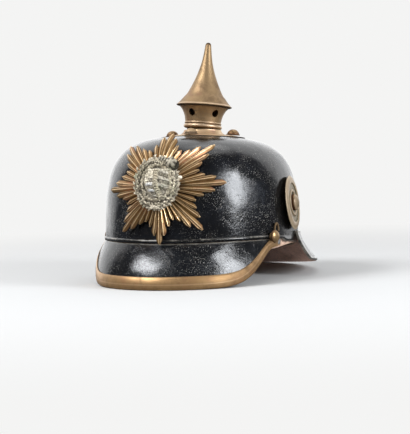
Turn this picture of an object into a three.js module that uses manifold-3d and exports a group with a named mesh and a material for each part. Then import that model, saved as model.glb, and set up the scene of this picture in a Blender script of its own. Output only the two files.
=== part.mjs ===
// A spiked leather helmet with brass fittings, in millimetres, +Z up.
// The helmet's own frame has the wearer's left at +X, the front at -Y and the front seam at z = 0.
// Angles round the helmet are counted from the front, positive towards the wearer's left.
// The finished helmet is leaned back onto the two edges that it rests on.

import * as THREE from 'three';
import { LoftGeometry } from 'three/addons/geometries/LoftGeometry.js';
import { mergeVertices } from 'three/addons/utils/BufferGeometryUtils.js';
import Module from 'manifold-3d';

const wasm = await Module();
wasm.setup();

const { Vector2, Vector3 } = THREE;
const DEGREE = Math.PI / 180;
const GAP = 0.3; // clearance between neighbouring pieces

// ---- driving dimensions ----

const SHELL = {
	halfWidth: 88,
	halfLength: 105,
	height: 99.6,
	centreY: -3,
	fullness: 3.9, // exponent of the dome's superellipse
	wall: 2.5,
	ventRadius: 8, // air hole in the crown, below the spike
	columns: 48
};
// The lower edge climbs from the front to the sides and falls again to the back.
const RIM = { rise: 10.5, fall: 5.5 };
// Between the visors the edge hangs lower.
const SIDE_EDGE = {
	drop: 2.4,
	from: 79.8 * DEGREE, // from the middle of the front visor
	full: 84.8 * DEGREE,
	fadeFrom: 98 * DEGREE, // from the front of the shell
	fadeTo: 112 * DEGREE
};
const BEAD = { height: 2.4, proud: 0.9, fadeFrom: 80 * DEGREE, fadeTo: 92 * DEGREE };

const FRONT_VISOR = {
	turn: -2.7 * DEGREE, // it sits a little round to the wearer's right
	halfSpan: 78.4 * DEGREE,
	thickness: 2.2,
	drop: 34.3,
	dropAtEnd: 5,
	shoulder: 8.9, // how late the visor's edge starts to rise
	rounding: 3.8, // how early that rise is at its steepest
	flare: 19,
	flareAtEnd: 0.2,
	flareShoulder: 7.4, // how late the flare starts to lessen
	flareRounding: 0.4, // how suddenly it ends
	bentIn: 0.5, // the share of the flare that is bent away towards the end on the wearer's right
	bentFrom: 0.79,
	bentTo: 0.93,
	roundness: 1.8, // how soon the visor turns down
	sweep: 0.06, // how far its flare turns sideways with the angle round the shell
	columns: 32,
	rows: 6
};
const TRIM = { height: 10.5, sheet: 0.8, crown: 0.7, reach: 0.985, easeAtEnds: 1.5 };
const REAR_VISOR = {
	start: 95.5 * DEGREE,
	thickness: 2.2,
	halfWidth: 103,
	halfLength: 155,
	seamAtSide: 12.6,
	seamAtBack: 9,
	edgeAtSide: -14,
	edgeAtBack: -17.4,
	hollowness: 1.5, // how late the visor turns out
	columns: 28,
	rows: 6
};
const SWEATBAND = {
	thickness: 1.5,
	height: 32,
	lean: 1.3, // inwards at its top, clear of the dome
	peek: 3.4, // how far it shows below the rim
	peekAtFront: 6.4, // further still behind the front visor
	hideFrom: 62 * DEGREE,
	hideTo: 100 * DEGREE
};

const PLATE = {
	radius: 40,
	edge: 0.4,
	sheet: 1,
	rise: 1.3, // its slope up to the collar
	footRadius: 22,
	collarRadius: 17.6,
	collarBore: 15.9,
	collarTop: 107,
	bore: 12
};
const PLATE_STUD = { radius: 5.9, height: 5.2, circle: 30.5 };
const SPIKE = { leanLeft: 3.7 * DEGREE, leanBack: 1.3 * DEGREE, lift: 1.6, wall: 1.2, segments: 32 };
const VENT = { count: 5, radius: 3.3, up: 13.9, firstAngle: -15.5 * DEGREE };

const STAR = {
	centreX: 0.8,
	centreZ: 50,
	frontY: -112,
	bowRadius: 78, // curve round the helmet
	bendLength: 60,
	bend: 67 * DEGREE, // how far the top point leans back
	reach: 55.6,
	taller: 4.5,
	wider: 1.9,
	points: [
		// from the top one clockwise, how each point of the bent plate differs from its even place
		{ turn: 2 * DEGREE, longer: 0 },
		{ turn: 3 * DEGREE, longer: 0 },
		{ turn: -4.5 * DEGREE, longer: 2 },
		{ turn: 0, longer: 0 },
		{ turn: 0, longer: 1 },
		{ turn: 0, longer: 3.5 },
		{ turn: -1.5 * DEGREE, longer: 2 },
		{ turn: 0, longer: 0 }
	],
	// from one point to the next, drawn towards the points
	rayTurns: [0, 6.9 * DEGREE, 14 * DEGREE, 22.5 * DEGREE, 31 * DEGREE, 38.1 * DEGREE],
	sheet: 1,
	ridge: 1.4,
	tipShares: [1, 0.84, 0.7, 0.62, 0.7, 0.84], // lengths of the rays from one point to the next
	valley: 0.9, // depth of the notch between two rays
	postAcross: 24,
	postRadius: 1.8
};
const BADGE = {
	across: 20.6,
	up: 23,
	shiftAcross: -2.6,
	shiftUp: 2.8,
	crown: 2.6, // how far the crown's ball stands out of the oval
	crownAt: 38 * DEGREE,
	crownInner: 9 * DEGREE,
	crownOuter: 24 * DEGREE,
	sheet: 1.6,
	dome: 3.2,
	columns: 36
};

const COCKADE = {
	centreY: -5,
	centreZ: 38,
	tiltUp: 6 * DEGREE,
	turnBack: 5 * DEGREE,
	foot: 0.8,
	boss: 10.4,
	recess: 0.4
};
const COCKADE_SCREW = { radius: 7.5, height: 7.2, faceRadius: 5, lift: 0.1 };
// The studs pin the ends of the trim, so they sit round with the visor; the right one is a flatter rivet.
const SIDE_STUD = { radius: 5.7, z: 6.8, shank: 1.4 };
const STUD_LEFT = { angle: 66.9 * DEGREE, height: 3.1, standoff: 4.4 };
const STUD_RIGHT = { angle: -79 * DEGREE, height: 1.6, standoff: 2.6 };
const SIDE_LUG = { angle: 70.5 * DEGREE, foot: 12, halfWidth: 3, height: 6.5, wire: 1 };

const REST = { pitch: 4.6 * DEGREE, flat: 0.35 };

// ---- helpers ----

const easeBetween = (from, to, value) => THREE.MathUtils.smoothstep(value, from, to);

// Evenly spaced values, the ends among them.
function steps(from, to, count) {
	return Array.from({ length: count + 1 }, (_, i) => from + ((to - from) * i) / count);
}

// A point of the oval with the given half-axes, at an angle round the helmet.
function onOval(angle, halfWidth, halfLength) {
	return new Vector2(halfWidth * Math.sin(angle), SHELL.centreY - halfLength * Math.cos(angle));
}

function onShell(angle, inset = 0) {
	return onOval(angle, SHELL.halfWidth - inset, SHELL.halfLength - inset);
}

function shellNormal(angle) {
	return new Vector2(Math.sin(angle) / SHELL.halfWidth, -Math.cos(angle) / SHELL.halfLength).normalize();
}

function rimHeight(angle) {
	const round = 1 - Math.cos(angle);
	return RIM.rise * round - RIM.fall * round * round;
}

function closed(geometry) {
	const bare = new THREE.BufferGeometry().copy(geometry);
	bare.deleteAttribute('normal');
	bare.deleteAttribute('uv');
	const merged = mergeVertices(bare, 1e-4);
	const corners = Array.from(merged.index.array);
	const faces = corners.map((corner, i) => (i % 3 === 0 ? corners.slice(i, i + 3) : null)).filter(Boolean);
	merged.setIndex(faces.filter((face) => new Set(face).size === 3).flat());
	return merged;
}

function toManifold(geometry) {
	const merged = closed(geometry);
	const vertProperties = Float32Array.from(merged.attributes.position.array);
	const triVerts = Uint32Array.from(merged.index.array);
	return new wasm.Manifold(new wasm.Mesh({ numProp: 3, vertProperties, triVerts }));
}

function fromManifold(solid) {
	const mesh = solid.getMesh();
	const geometry = new THREE.BufferGeometry();
	geometry.setAttribute('position', new THREE.BufferAttribute(Float32Array.from(mesh.vertProperties), 3));
	geometry.setIndex(new THREE.BufferAttribute(Uint32Array.from(mesh.triVerts), 1));
	return geometry;
}

// Sweeps a closed section round the helmet. sectionAt(angle) gives its foot on the plan, the direction
// that its first coordinate is measured in, and its outline as (outwards, height) points.
function sweep(angles, sectionAt, ring = false) {
	const sections = angles.map((angle) => {
		const { foot, outwards, outline } = sectionAt(angle);
		return outline.map((p) => new Vector3(foot.x + outwards.x * p.x, foot.y + outwards.y * p.x, p.y));
	});
	return closed(new LoftGeometry(sections, { capStart: !ring, capEnd: !ring }));
}

// Moves a downward line of (outwards, height) points square to itself, outwards for a positive distance.
function offsetLine(line, distanceAt) {
	return line.map((point, i) => {
		const before = line[Math.max(i - 1, 0)];
		const after = line[Math.min(i + 1, line.length - 1)];
		const along = after.clone().sub(before).normalize();
		const distance = distanceAt(i / (line.length - 1));
		return new Vector2(point.x - along.y * distance, point.y + along.x * distance);
	});
}

// The outline of a wall that lies inside such a line.
function wallOutline(line, thickness) {
	return [...line, ...offsetLine(line, () => -thickness).reverse()];
}

// A surface of revolution about Z from (radius, height) points that close on themselves or end on the axis.
function turned(profile, segments) {
	return closed(new THREE.LatheGeometry(profile, segments).rotateX(Math.PI / 2));
}

function material(color, roughness, metalness) {
	return new THREE.MeshStandardMaterial({ color, roughness, metalness });
}

const finishes = {
	leather: material(0x15161a, 0.28, 0),
	hide: material(0x6e5041, 0.7, 0),
	brass: material(0xa58355, 0.38, 1),
	rays: material(0xaf7d46, 0.42, 1),
	whiteMetal: material(0x969182, 0.45, 1),
	cockade: material(0xb9a27c, 0.55, 0.4)
};

function piece(name, geometry, finish) {
	const mesh = new THREE.Mesh(geometry, finish);
	mesh.name = name;
	return mesh;
}

// ---- shell ----

// Reach and rise, as fractions of the half-axes, of the dome's profile seen at an elevation angle.
function domeProfile(elevation) {
	const across = Math.cos(elevation);
	const up = Math.sin(elevation);
	const size = (across ** SHELL.fullness + up ** SHELL.fullness) ** (-1 / SHELL.fullness);
	return { reach: size * across, rise: size * up };
}

function shellRing(inset, reach, heightAt, proudAt = () => 0) {
	return Array.from({ length: SHELL.columns }, (_, i) => {
		const angle = (2 * Math.PI * i) / SHELL.columns;
		const on = onShell(angle, inset).sub(new Vector2(0, SHELL.centreY)).multiplyScalar(reach);
		on.addScaledVector(shellNormal(angle), proudAt(angle));
		return new Vector3(on.x, on.y + SHELL.centreY, heightAt(angle));
	});
}

function domeRings(inset, elevations) {
	return elevations.map((elevation) => {
		const { reach, rise } = domeProfile(elevation);
		return shellRing(inset, reach, () => rise * (SHELL.height - inset));
	});
}

function makeShell() {
	const crown = Math.atan2(SHELL.height, SHELL.ventRadius * (SHELL.height / SHELL.halfWidth));
	const low = 9 * DEGREE;
	const beadFade = (angle) => easeBetween(BEAD.fadeFrom, BEAD.fadeTo, roundTheFront(angle));
	const beadSize = (angle) => BEAD.proud * (1 - beadFade(angle));
	const beadRows = [1.2, 1, 0.5, 0.1];
	const beadShares = [0, 0.45, 1, 0.45];
	const rings = [
		...domeRings(0, steps(crown, low, 12)),
		...beadRows.map((share, i) =>
			shellRing(
				0,
				1,
				(angle) => rimHeight(angle) + BEAD.height * share,
				(angle) => beadSize(angle) * beadShares[i]
			)
		),
		shellRing(0, 1, shellEdge),
		shellRing(SHELL.wall, 1, shellEdge),
		...domeRings(SHELL.wall, steps(low, crown, 8))
	];
	return closed(new LoftGeometry([...rings, rings[0]].reverse()));
}

// The shell's lower edge: the rim, and lower still where no visor covers it.
function shellEdge(angle) {
	const { drop, from, full, fadeFrom, fadeTo } = SIDE_EDGE;
	const past = easeBetween(from, full, roundTheFront(angle - FRONT_VISOR.turn));
	return rimHeight(angle) - drop * past * (1 - easeBetween(fadeFrom, fadeTo, roundTheFront(angle)));
}

// The angle's distance from the front, whichever side it is on.
function roundTheFront(angle) {
	return Math.acos(Math.cos(angle));
}

// ---- visors and what edges them ----

function frontVisorSize(angle) {
	const { dropAtEnd, drop, shoulder, rounding } = FRONT_VISOR;
	const { flareAtEnd, flare, flareShoulder, flareRounding } = FRONT_VISOR;
	const share = Math.min(Math.abs(angle - FRONT_VISOR.turn) / FRONT_VISOR.halfSpan, 1);
	const bend = angle < FRONT_VISOR.turn ? easeBetween(FRONT_VISOR.bentFrom, FRONT_VISOR.bentTo, share) : 0;
	const whole = (flare - flareAtEnd) * (1 - share ** flareShoulder) ** flareRounding;
	return {
		drop: dropAtEnd + drop * (1 - share ** shoulder) ** rounding,
		flare: flareAtEnd + whole * (1 - FRONT_VISOR.bentIn * bend)
	};
}

// The visor's outer face at a share of the way from its seam (0) to its edge (1).
function onFrontVisor(angle, share) {
	const { drop, flare } = frontVisorSize(angle);
	const outwards = flare * (1 - (1 - share) ** FRONT_VISOR.roundness);
	return new Vector2(outwards, rimHeight(angle) - GAP - drop * share);
}

// Angles from one end of the visor to the other, closer together towards its ends.
function frontVisorAngles(reach = 1) {
	return steps(-reach, reach, FRONT_VISOR.columns).map((share) => {
		const eased = 0.45 * share + 0.55 * Math.sin((share * Math.PI) / 2);
		return FRONT_VISOR.turn + FRONT_VISOR.halfSpan * eased;
	});
}

function frontPlane(angle) {
	const turn = angle * FRONT_VISOR.sweep;
	return { foot: onShell(angle), outwards: new Vector2(Math.sin(turn), -Math.cos(turn)) };
}

// Adds one more point to the lower end of a line.
function lowered(line, reach) {
	const end = line[line.length - 1];
	const downwards = end.clone().sub(line[line.length - 2]).normalize();
	return [...line, end.clone().addScaledVector(downwards, reach)];
}

// The visor, or the room that it needs in its trim where grown by a clearance.
function makeFrontVisor(growthAt = () => 0) {
	return sweep(frontVisorAngles(), (angle) => {
		const growth = growthAt(angle);
		const face = steps(0, 1, FRONT_VISOR.rows).map((share) => onFrontVisor(angle, share));
		const grown = growth > 0 ? lowered(offsetLine(face, () => growth), growth) : face;
		return { ...frontPlane(angle), outline: wallOutline(grown, FRONT_VISOR.thickness + 2 * growth) };
	});
}

// The trim's clearance, in its section, is wider towards the ends, where the visor slants away from it.
function trimClearance(angle) {
	const share = Math.min(Math.abs(angle - FRONT_VISOR.turn) / FRONT_VISOR.halfSpan, 1);
	return GAP * (1 + TRIM.easeAtEnds * share ** 10);
}

function makeVisorTrim() {
	const bar = sweep(frontVisorAngles(TRIM.reach), (angle) => {
		const { drop } = frontVisorSize(angle);
		const leg = Math.min(TRIM.height, drop - 1.2);
		const line = steps(1 - leg / drop, 1, 3).map((share) => onFrontVisor(angle, share));
		const room = trimClearance(angle);
		const front = room + TRIM.sheet;
		const back = -FRONT_VISOR.thickness - front;
		const outer = lowered(offsetLine(line, (share) => front + TRIM.crown * Math.sin(Math.PI * share)), room);
		const inner = lowered(offsetLine(line, () => back), room);
		const keelLines = [front + back * 0.3, back + front * 0.3].map((out) => offsetLine(line, () => out));
		const keel = keelLines.map((keelLine) => lowered(keelLine, front).at(-1));
		return { ...frontPlane(angle), outline: [...outer, ...keel, ...inner.reverse()] };
	});
	return fromManifold(toManifold(bar).subtract(toManifold(makeFrontVisor(trimClearance))));
}

function makeRearVisor() {
	const angles = steps(REAR_VISOR.start, 2 * Math.PI - REAR_VISOR.start, REAR_VISOR.columns);
	return sweep(angles, (angle) => {
		const side = (Math.abs(angle - Math.PI) / (Math.PI - REAR_VISOR.start)) ** 2;
		const top = THREE.MathUtils.lerp(REAR_VISOR.seamAtBack, REAR_VISOR.seamAtSide, side);
		const bottom = THREE.MathUtils.lerp(REAR_VISOR.edgeAtBack, REAR_VISOR.edgeAtSide, side);
		const foot = onShell(angle);
		const reach = onOval(angle, REAR_VISOR.halfWidth, REAR_VISOR.halfLength).sub(foot);
		const hug = 1.5 * GAP + REAR_VISOR.thickness;
		const line = steps(0, 1, REAR_VISOR.rows).map((share) => {
			const out = hug + (reach.length() - hug) * share ** REAR_VISOR.hollowness;
			return new Vector2(out, THREE.MathUtils.lerp(top, bottom, share));
		});
		return { foot, outwards: reach.normalize(), outline: wallOutline(line, REAR_VISOR.thickness) };
	});
}

function makeSweatband() {
	const angles = steps(0, 2 * Math.PI, SHELL.columns);
	return sweep(angles, (angle) => {
		const hidden = easeBetween(SWEATBAND.hideFrom, SWEATBAND.hideTo, roundTheFront(angle));
		const bottom = rimHeight(angle) - SWEATBAND.peek - SWEATBAND.peekAtFront * (1 - hidden);
		const near = -SHELL.wall - GAP;
		const far = near - SWEATBAND.thickness;
		const top = rimHeight(angle) + SWEATBAND.height;
		const outline = [
			new Vector2(near - SWEATBAND.lean, top),
			new Vector2(near, rimHeight(angle)),
			new Vector2(near, bottom),
			new Vector2(far, bottom),
			new Vector2(far, rimHeight(angle)),
			new Vector2(far - SWEATBAND.lean, top)
		];
		return { foot: onShell(angle), outwards: shellNormal(angle), outline };
	}, true);
}

// ---- crown: plate, studs and spike ----

function makeBasePlate() {
	const base = SHELL.height + GAP;
	const top = base + PLATE.sheet;
	const shoulder = top + PLATE.rise;
	const flare = steps(0, 1, 4).map((share) => {
		const out = PLATE.collarRadius + (PLATE.footRadius - PLATE.collarRadius) * (1 - share) ** 2;
		return new Vector2(out, THREE.MathUtils.lerp(shoulder, PLATE.collarTop, share));
	});
	const profile = [
		new Vector2(PLATE.bore, base),
		new Vector2(PLATE.radius - PLATE.edge, base),
		new Vector2(PLATE.radius, base + PLATE.edge),
		new Vector2(PLATE.radius - PLATE.edge / 2, top),
		...flare,
		new Vector2(PLATE.collarBore, PLATE.collarTop),
		new Vector2(PLATE.collarBore, shoulder),
		new Vector2(PLATE.bore, shoulder),
		new Vector2(PLATE.bore, base)
	];
	return turned(profile, SPIKE.segments);
}

// A domed head on its flat foot.
function domeHead(radius, height, segments) {
	const turns = steps(0, Math.PI / 2, 3);
	const arc = turns.map((a) => new Vector2(radius * Math.cos(a), 0.8 + (height - 0.8) * Math.sin(a)));
	arc[arc.length - 1].x = 0;
	return turned([new Vector2(0, 0), new Vector2(radius, 0), ...arc], segments);
}

function plateStuds() {
	const slope = Math.atan2(PLATE.rise, PLATE.radius - PLATE.footRadius);
	const run = PLATE.radius - PLATE_STUD.circle;
	const onPlate = SHELL.height + GAP + PLATE.sheet + run * Math.tan(slope) + GAP;
	return ['right', 'front', 'left', 'back'].map((place, i) => {
		const arm = new THREE.Group();
		arm.rotation.z = Math.PI + (i * Math.PI) / 2;
		arm.position.y = SHELL.centreY;
		const head = domeHead(PLATE_STUD.radius, PLATE_STUD.height, 18);
		const stud = piece(`plate_stud_${place}`, head, finishes.brass);
		stud.position.set(PLATE_STUD.circle, 0, onPlate);
		stud.rotation.y = slope;
		return arm.add(stud);
	});
}

// Outer line of the neck from its foot to the sharp rim under the point.
const NECK_LINE = [
	{ up: 4.2, radius: 17.1 },
	{ up: 7.4, radius: 17.3 },
	{ up: 10.6, radius: 17.7 },
	{ up: 14, radius: 18.8 },
	{ up: 17.6, radius: 20.8 },
	{ up: 20.4, radius: 23.4 }
];
const FOOT_BEAD = { radius: 17.7, height: 3.1 };
const SPIGOT = { radius: 14.6, depth: 4 };

function makeSpikeNeck() {
	const curve = new THREE.SplineCurve(NECK_LINE.map((row) => new Vector2(row.radius, row.up)));
	const outer = curve.getPoints(7);
	const inner = outer.map((p) => new Vector2(p.x - SPIKE.wall, p.y)).reverse();
	inner[0].x = outer[outer.length - 1].x - 0.4;
	const half = FOOT_BEAD.height / 2;
	const bead = steps(-Math.PI / 2, Math.PI / 2, 4).map(
		(a) => new Vector2(FOOT_BEAD.radius - half + half * Math.cos(a), half + half * Math.sin(a))
	);
	const bore = SPIGOT.radius - SPIKE.wall;
	const profile = [
		new Vector2(bore, -SPIGOT.depth),
		new Vector2(SPIGOT.radius, -SPIGOT.depth),
		new Vector2(SPIGOT.radius, 0),
		...bead,
		...outer,
		...inner,
		new Vector2(bore, NECK_LINE[0].up),
		new Vector2(bore, -SPIGOT.depth)
	];
	let neck = toManifold(turned(profile, SPIKE.segments));
	for (let i = 0; i < VENT.count; i++) {
		const drill = new THREE.CylinderGeometry(VENT.radius, VENT.radius, 40, 12);
		drill.translate(0, -20, 0);
		drill.translate(0, 0, VENT.up);
		drill.rotateZ(VENT.firstAngle + (i * 2 * Math.PI) / VENT.count);
		neck = neck.subtract(toManifold(drill));
	}
	return fromManifold(neck);
}

// Outer line of the point from its sharp rim to the blunt tip.
const POINT_LINE = [
	{ up: 22, radius: 25.4 },
	{ up: 25.2, radius: 22.8 },
	{ up: 28.8, radius: 20 },
	{ up: 32.5, radius: 16.7 },
	{ up: 40.1, radius: 12.9 },
	{ up: 47.7, radius: 9.7 },
	{ up: 55.2, radius: 7.1 },
	{ up: 62.8, radius: 5.1 },
	{ up: 70.3, radius: 3.8 },
	{ up: 79, radius: 2.7 }
];
const TIP = 81.4;

function makeSpikePoint() {
	const curve = new THREE.SplineCurve(POINT_LINE.map((row) => new Vector2(row.radius, row.up)));
	const last = POINT_LINE[POINT_LINE.length - 1];
	const tip = steps(0, Math.PI / 2, 3).slice(1).map(
		(a) => new Vector2(last.radius * Math.cos(a), last.up + (TIP - last.up) * Math.sin(a))
	);
	tip[tip.length - 1].x = 0;
	const foot = NECK_LINE[NECK_LINE.length - 1].up + GAP;
	const rim = [new Vector2(0, foot), new Vector2(POINT_LINE[0].radius - 0.6, foot)];
	return turned([...rim, ...curve.getPoints(12), ...tip], SPIKE.segments);
}

function makeSpike() {
	const spike = new THREE.Group();
	spike.position.set(0, SHELL.centreY, PLATE.collarTop + SPIKE.lift);
	spike.rotation.set(-SPIKE.leanBack, SPIKE.leanLeft, 0);
	spike.add(piece('spike_neck', makeSpikeNeck(), finishes.brass));
	spike.add(piece('spike_point', makeSpikePoint(), finishes.brass));
	return spike;
}

// ---- front plate ----

// A point of the bent front plate, from distances across and up it and a lift above its back.
function onStar(across, up, lift) {
	const turn = (Math.max(up, 0) / STAR.bendLength) * STAR.bend;
	const arm = STAR.bendLength / STAR.bend;
	const height = up > 0 ? arm * Math.sin(turn) : up;
	const radius = STAR.bowRadius - arm * (1 - Math.cos(turn));
	const round = across / radius;
	const away = radius + lift * Math.cos(turn);
	return new Vector3(
		STAR.centreX + away * Math.sin(round),
		STAR.frontY + STAR.bowRadius - away * Math.cos(round),
		STAR.centreZ + height + lift * Math.sin(turn)
	);
}

// Lofts rings of a flat outline, front then back, and lays them on the bent plate.
function bentPlate(columns, outlineAt, frontShares, frontLift, backLift) {
	const ring = (share, lift) =>
		Array.from({ length: columns }, (_, i) => {
			const { across, up } = outlineAt(i, share);
			return onStar(across, up, lift(share, i));
		});
	const rings = [
		...frontShares.map((share) => ring(share, frontLift)),
		...frontShares.slice().reverse().map((share) => ring(share, backLift))
	];
	return closed(new LoftGeometry(rings));
}

// Angle and full reach of the star at one of its rays, between the bent points on either side of it.
function starRay(index) {
	const count = STAR.rayTurns.length;
	const number = Math.floor(index / count);
	const ray = index % count;
	const before = STAR.points[number % STAR.points.length];
	const after = STAR.points[(number + 1) % STAR.points.length];
	const share = ray / count;
	const straight = (number * 2 * Math.PI) / STAR.points.length + STAR.rayTurns[ray];
	const angle = straight + before.turn * (1 - share) + after.turn * share;
	const longer = before.longer * (1 - share) + after.longer * share;
	const even = STAR.reach + STAR.taller * Math.cos(straight) + STAR.wider * Math.sin(straight) ** 2;
	return { angle, length: (even + longer) * STAR.tipShares[ray] };
}

function makeStarPlate() {
	const columns = STAR.points.length * STAR.rayTurns.length * 2;
	const outlineAt = (i, share) => {
		const ray = starRay(Math.floor(i / 2));
		const next = starRay(Math.floor(i / 2) + 1);
		const turnOver = next.angle < ray.angle ? 2 * Math.PI : 0;
		const angle = i % 2 === 0 ? ray.angle : (ray.angle + next.angle + turnOver) / 2;
		const length = i % 2 === 0 ? ray.length : Math.min(ray.length, next.length) * STAR.valley;
		const radius = length * share;
		return { across: radius * Math.sin(angle), up: radius * Math.cos(angle) };
	};
	const frontLift = (share, i) => STAR.sheet + (i % 2 === 0 ? STAR.ridge * share * (1 - share) * 2 : 0);
	let plate = toManifold(bentPlate(columns, outlineAt, [0, 0.5, 0.8, 1], frontLift, () => 0));
	for (const across of [-STAR.postAcross, STAR.postAcross]) {
		plate = plate.add(toManifold(makeStarPost(across)));
	}
	return fromManifold(plate);
}

// A stub soldered to the back of the plate, which stands it off the shell.
function makeStarPost(across) {
	const outer = onStar(across, 0, STAR.sheet / 2);
	const round = Math.atan2(outer.x, SHELL.centreY - outer.y);
	const seat = onShell(round).addScaledVector(shellNormal(round), 2 * GAP);
	const inner = new Vector3(seat.x, seat.y, outer.z);
	const post = new THREE.CylinderGeometry(STAR.postRadius, STAR.postRadius, outer.distanceTo(inner), 8);
	const along = outer.clone().sub(inner).normalize();
	post.applyQuaternion(new THREE.Quaternion().setFromUnitVectors(new Vector3(0, 1, 0), along));
	return post.translate(...outer.add(inner).multiplyScalar(0.5).toArray());
}

function makeWreathBadge() {
	const outlineAt = (i, share) => {
		const angle = (i * 2 * Math.PI) / BADGE.columns;
		const away = Math.acos(Math.cos(angle - BADGE.crownAt));
		const bump = BADGE.crown * (1 - easeBetween(BADGE.crownInner, BADGE.crownOuter, away));
		return {
			across: (BADGE.across + bump) * share * Math.sin(angle) + BADGE.shiftAcross,
			up: (BADGE.up + bump) * share * Math.cos(angle) + BADGE.shiftUp
		};
	};
	const back = STAR.sheet + STAR.ridge + GAP;
	const frontLift = (share) => back + BADGE.sheet + BADGE.dome * (1 - share * share);
	return bentPlate(BADGE.columns, outlineAt, [0, 0.4, 0.75, 1], frontLift, () => back);
}

// ---- sides: cockades, studs and lugs ----

// Concentric relief of the cockade, from the hole for its screw to its outer edge.
const COCKADE_RINGS = [
	{ radius: 7.9, lift: 1.2 },
	{ radius: 9.4, lift: 1.3 },
	{ radius: 10, lift: 2.4 },
	{ radius: 12.3, lift: 2.3 },
	{ radius: 12.9, lift: 1.6 },
	{ radius: 17.6, lift: 1.6 },
	{ radius: 18.3, lift: 2.5 },
	{ radius: 22.6, lift: 2.1 },
	{ radius: 24.8, lift: 1.1 }
];

function makeCockade() {
	const face = COCKADE_RINGS.map((row) => new Vector2(row.radius, row.lift));
	const bore = face[0].x;
	const edge = face[face.length - 1].x;
	const profile = [
		new Vector2(bore, 0),
		...face,
		new Vector2(edge, COCKADE.recess),
		new Vector2(COCKADE.boss + 1, COCKADE.recess),
		new Vector2(COCKADE.boss, 0),
		new Vector2(bore, 0)
	];
	return turned(profile.reverse(), 30);
}

function makeCockadeScrew() {
	const { radius, height, faceRadius, lift } = COCKADE_SCREW;
	const profile = [
		new Vector2(0, lift),
		new Vector2(radius, lift),
		new Vector2(radius, height * 0.55),
		new Vector2((radius + faceRadius) / 2 + 0.3, height * 0.85),
		new Vector2(faceRadius, height),
		new Vector2(0, height)
	];
	return turned(profile, 20);
}

// A frame on the shell's side whose +Z points out of it.
function sideFrame(point, normal, tiltUp) {
	const frame = new THREE.Group();
	frame.position.copy(point);
	const outwards = new Vector3(normal.x * Math.cos(tiltUp), normal.y * Math.cos(tiltUp), Math.sin(tiltUp));
	const sideways = new Vector3(0, 0, 1).cross(outwards).normalize();
	const upwards = outwards.clone().cross(sideways);
	frame.quaternion.setFromRotationMatrix(new THREE.Matrix4().makeBasis(sideways, upwards, outwards));
	return frame;
}

function makeSideStud(height, standoff) {
	const foot = -standoff + 3 * GAP;
	const arc = steps(0, Math.PI / 2, 4).map(
		(a) => new Vector2(SIDE_STUD.radius * Math.cos(a), 0.6 + (height - 0.6) * Math.sin(a))
	);
	arc[arc.length - 1].x = 0;
	const profile = [
		new Vector2(0, foot),
		new Vector2(SIDE_STUD.shank, foot),
		new Vector2(SIDE_STUD.shank, 0),
		new Vector2(SIDE_STUD.radius, 0),
		...arc
	];
	return turned(profile, 18);
}

function placeSideStud(side, { angle, height, standoff }) {
	const normal = shellNormal(angle);
	const foot = onShell(angle).addScaledVector(normal, standoff);
	const frame = sideFrame(new Vector3(foot.x, foot.y, SIDE_STUD.z), normal, 0);
	return frame.add(piece(`side_stud_${side}`, makeSideStud(height, standoff), finishes.brass));
}

// An upright arch of wire lying against the shell above the stud.
function placeSideLug() {
	const { halfWidth, height, wire } = SIDE_LUG;
	const onArch = (angle) => new Vector3(halfWidth * Math.cos(angle), height * Math.sin(angle), 0);
	const arch = steps(0, Math.PI, 8).map(onArch);
	const round = new THREE.EllipseCurve(0, 0, wire, wire, 0, 2 * Math.PI);
	const section = new THREE.Shape(round.getPoints(8).slice(0, -1));
	const path = new THREE.CatmullRomCurve3(arch);
	const geometry = closed(new THREE.ExtrudeGeometry(section, { steps: 10, extrudePath: path }));
	const normal = shellNormal(SIDE_LUG.angle);
	const foot = onShell(SIDE_LUG.angle).addScaledVector(normal, wire + 2 * GAP);
	const frame = sideFrame(new Vector3(foot.x, foot.y, SIDE_LUG.foot), normal, 0);
	return frame.add(piece('side_lug_left', geometry, finishes.brass));
}

// The cockade leans with the dome and is turned a little to the back.
function placeCockade() {
	const angle = Math.acos((SHELL.centreY - COCKADE.centreY) / SHELL.halfLength);
	const reach = (1 - (COCKADE.centreZ / SHELL.height) ** SHELL.fullness) ** (1 / SHELL.fullness);
	const normal = shellNormal(angle).rotateAround(new Vector2(), COCKADE.turnBack);
	const centreX = onShell(angle).x * reach + COCKADE.foot;
	const frame = sideFrame(new Vector3(centreX, COCKADE.centreY, COCKADE.centreZ), normal, COCKADE.tiltUp);
	return frame.add(
		piece('cockade', makeCockade(), finishes.cockade),
		piece('cockade_screw', makeCockadeScrew(), finishes.brass)
	);
}

// ---- the helmet, leaned back onto its edges ----

function lowestAtRest(geometry) {
	const turnedGeometry = geometry.clone().applyMatrix4(new THREE.Matrix4().makeRotationX(-REST.pitch));
	turnedGeometry.computeBoundingBox();
	return turnedGeometry.boundingBox.min.z;
}

// Cuts off what lies below the rest plane, which leaves a flat foot.
function flatFooted(geometry, level) {
	const slab = new THREE.BoxGeometry(400, 600, 40);
	slab.translate(0, 0, level - 20);
	slab.rotateX(REST.pitch);
	return fromManifold(toManifold(geometry).subtract(toManifold(slab)));
}

const trim = makeVisorTrim();
const rearVisor = makeRearVisor();
const restLevel = Math.max(lowestAtRest(trim), lowestAtRest(rearVisor)) + REST.flat;

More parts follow.
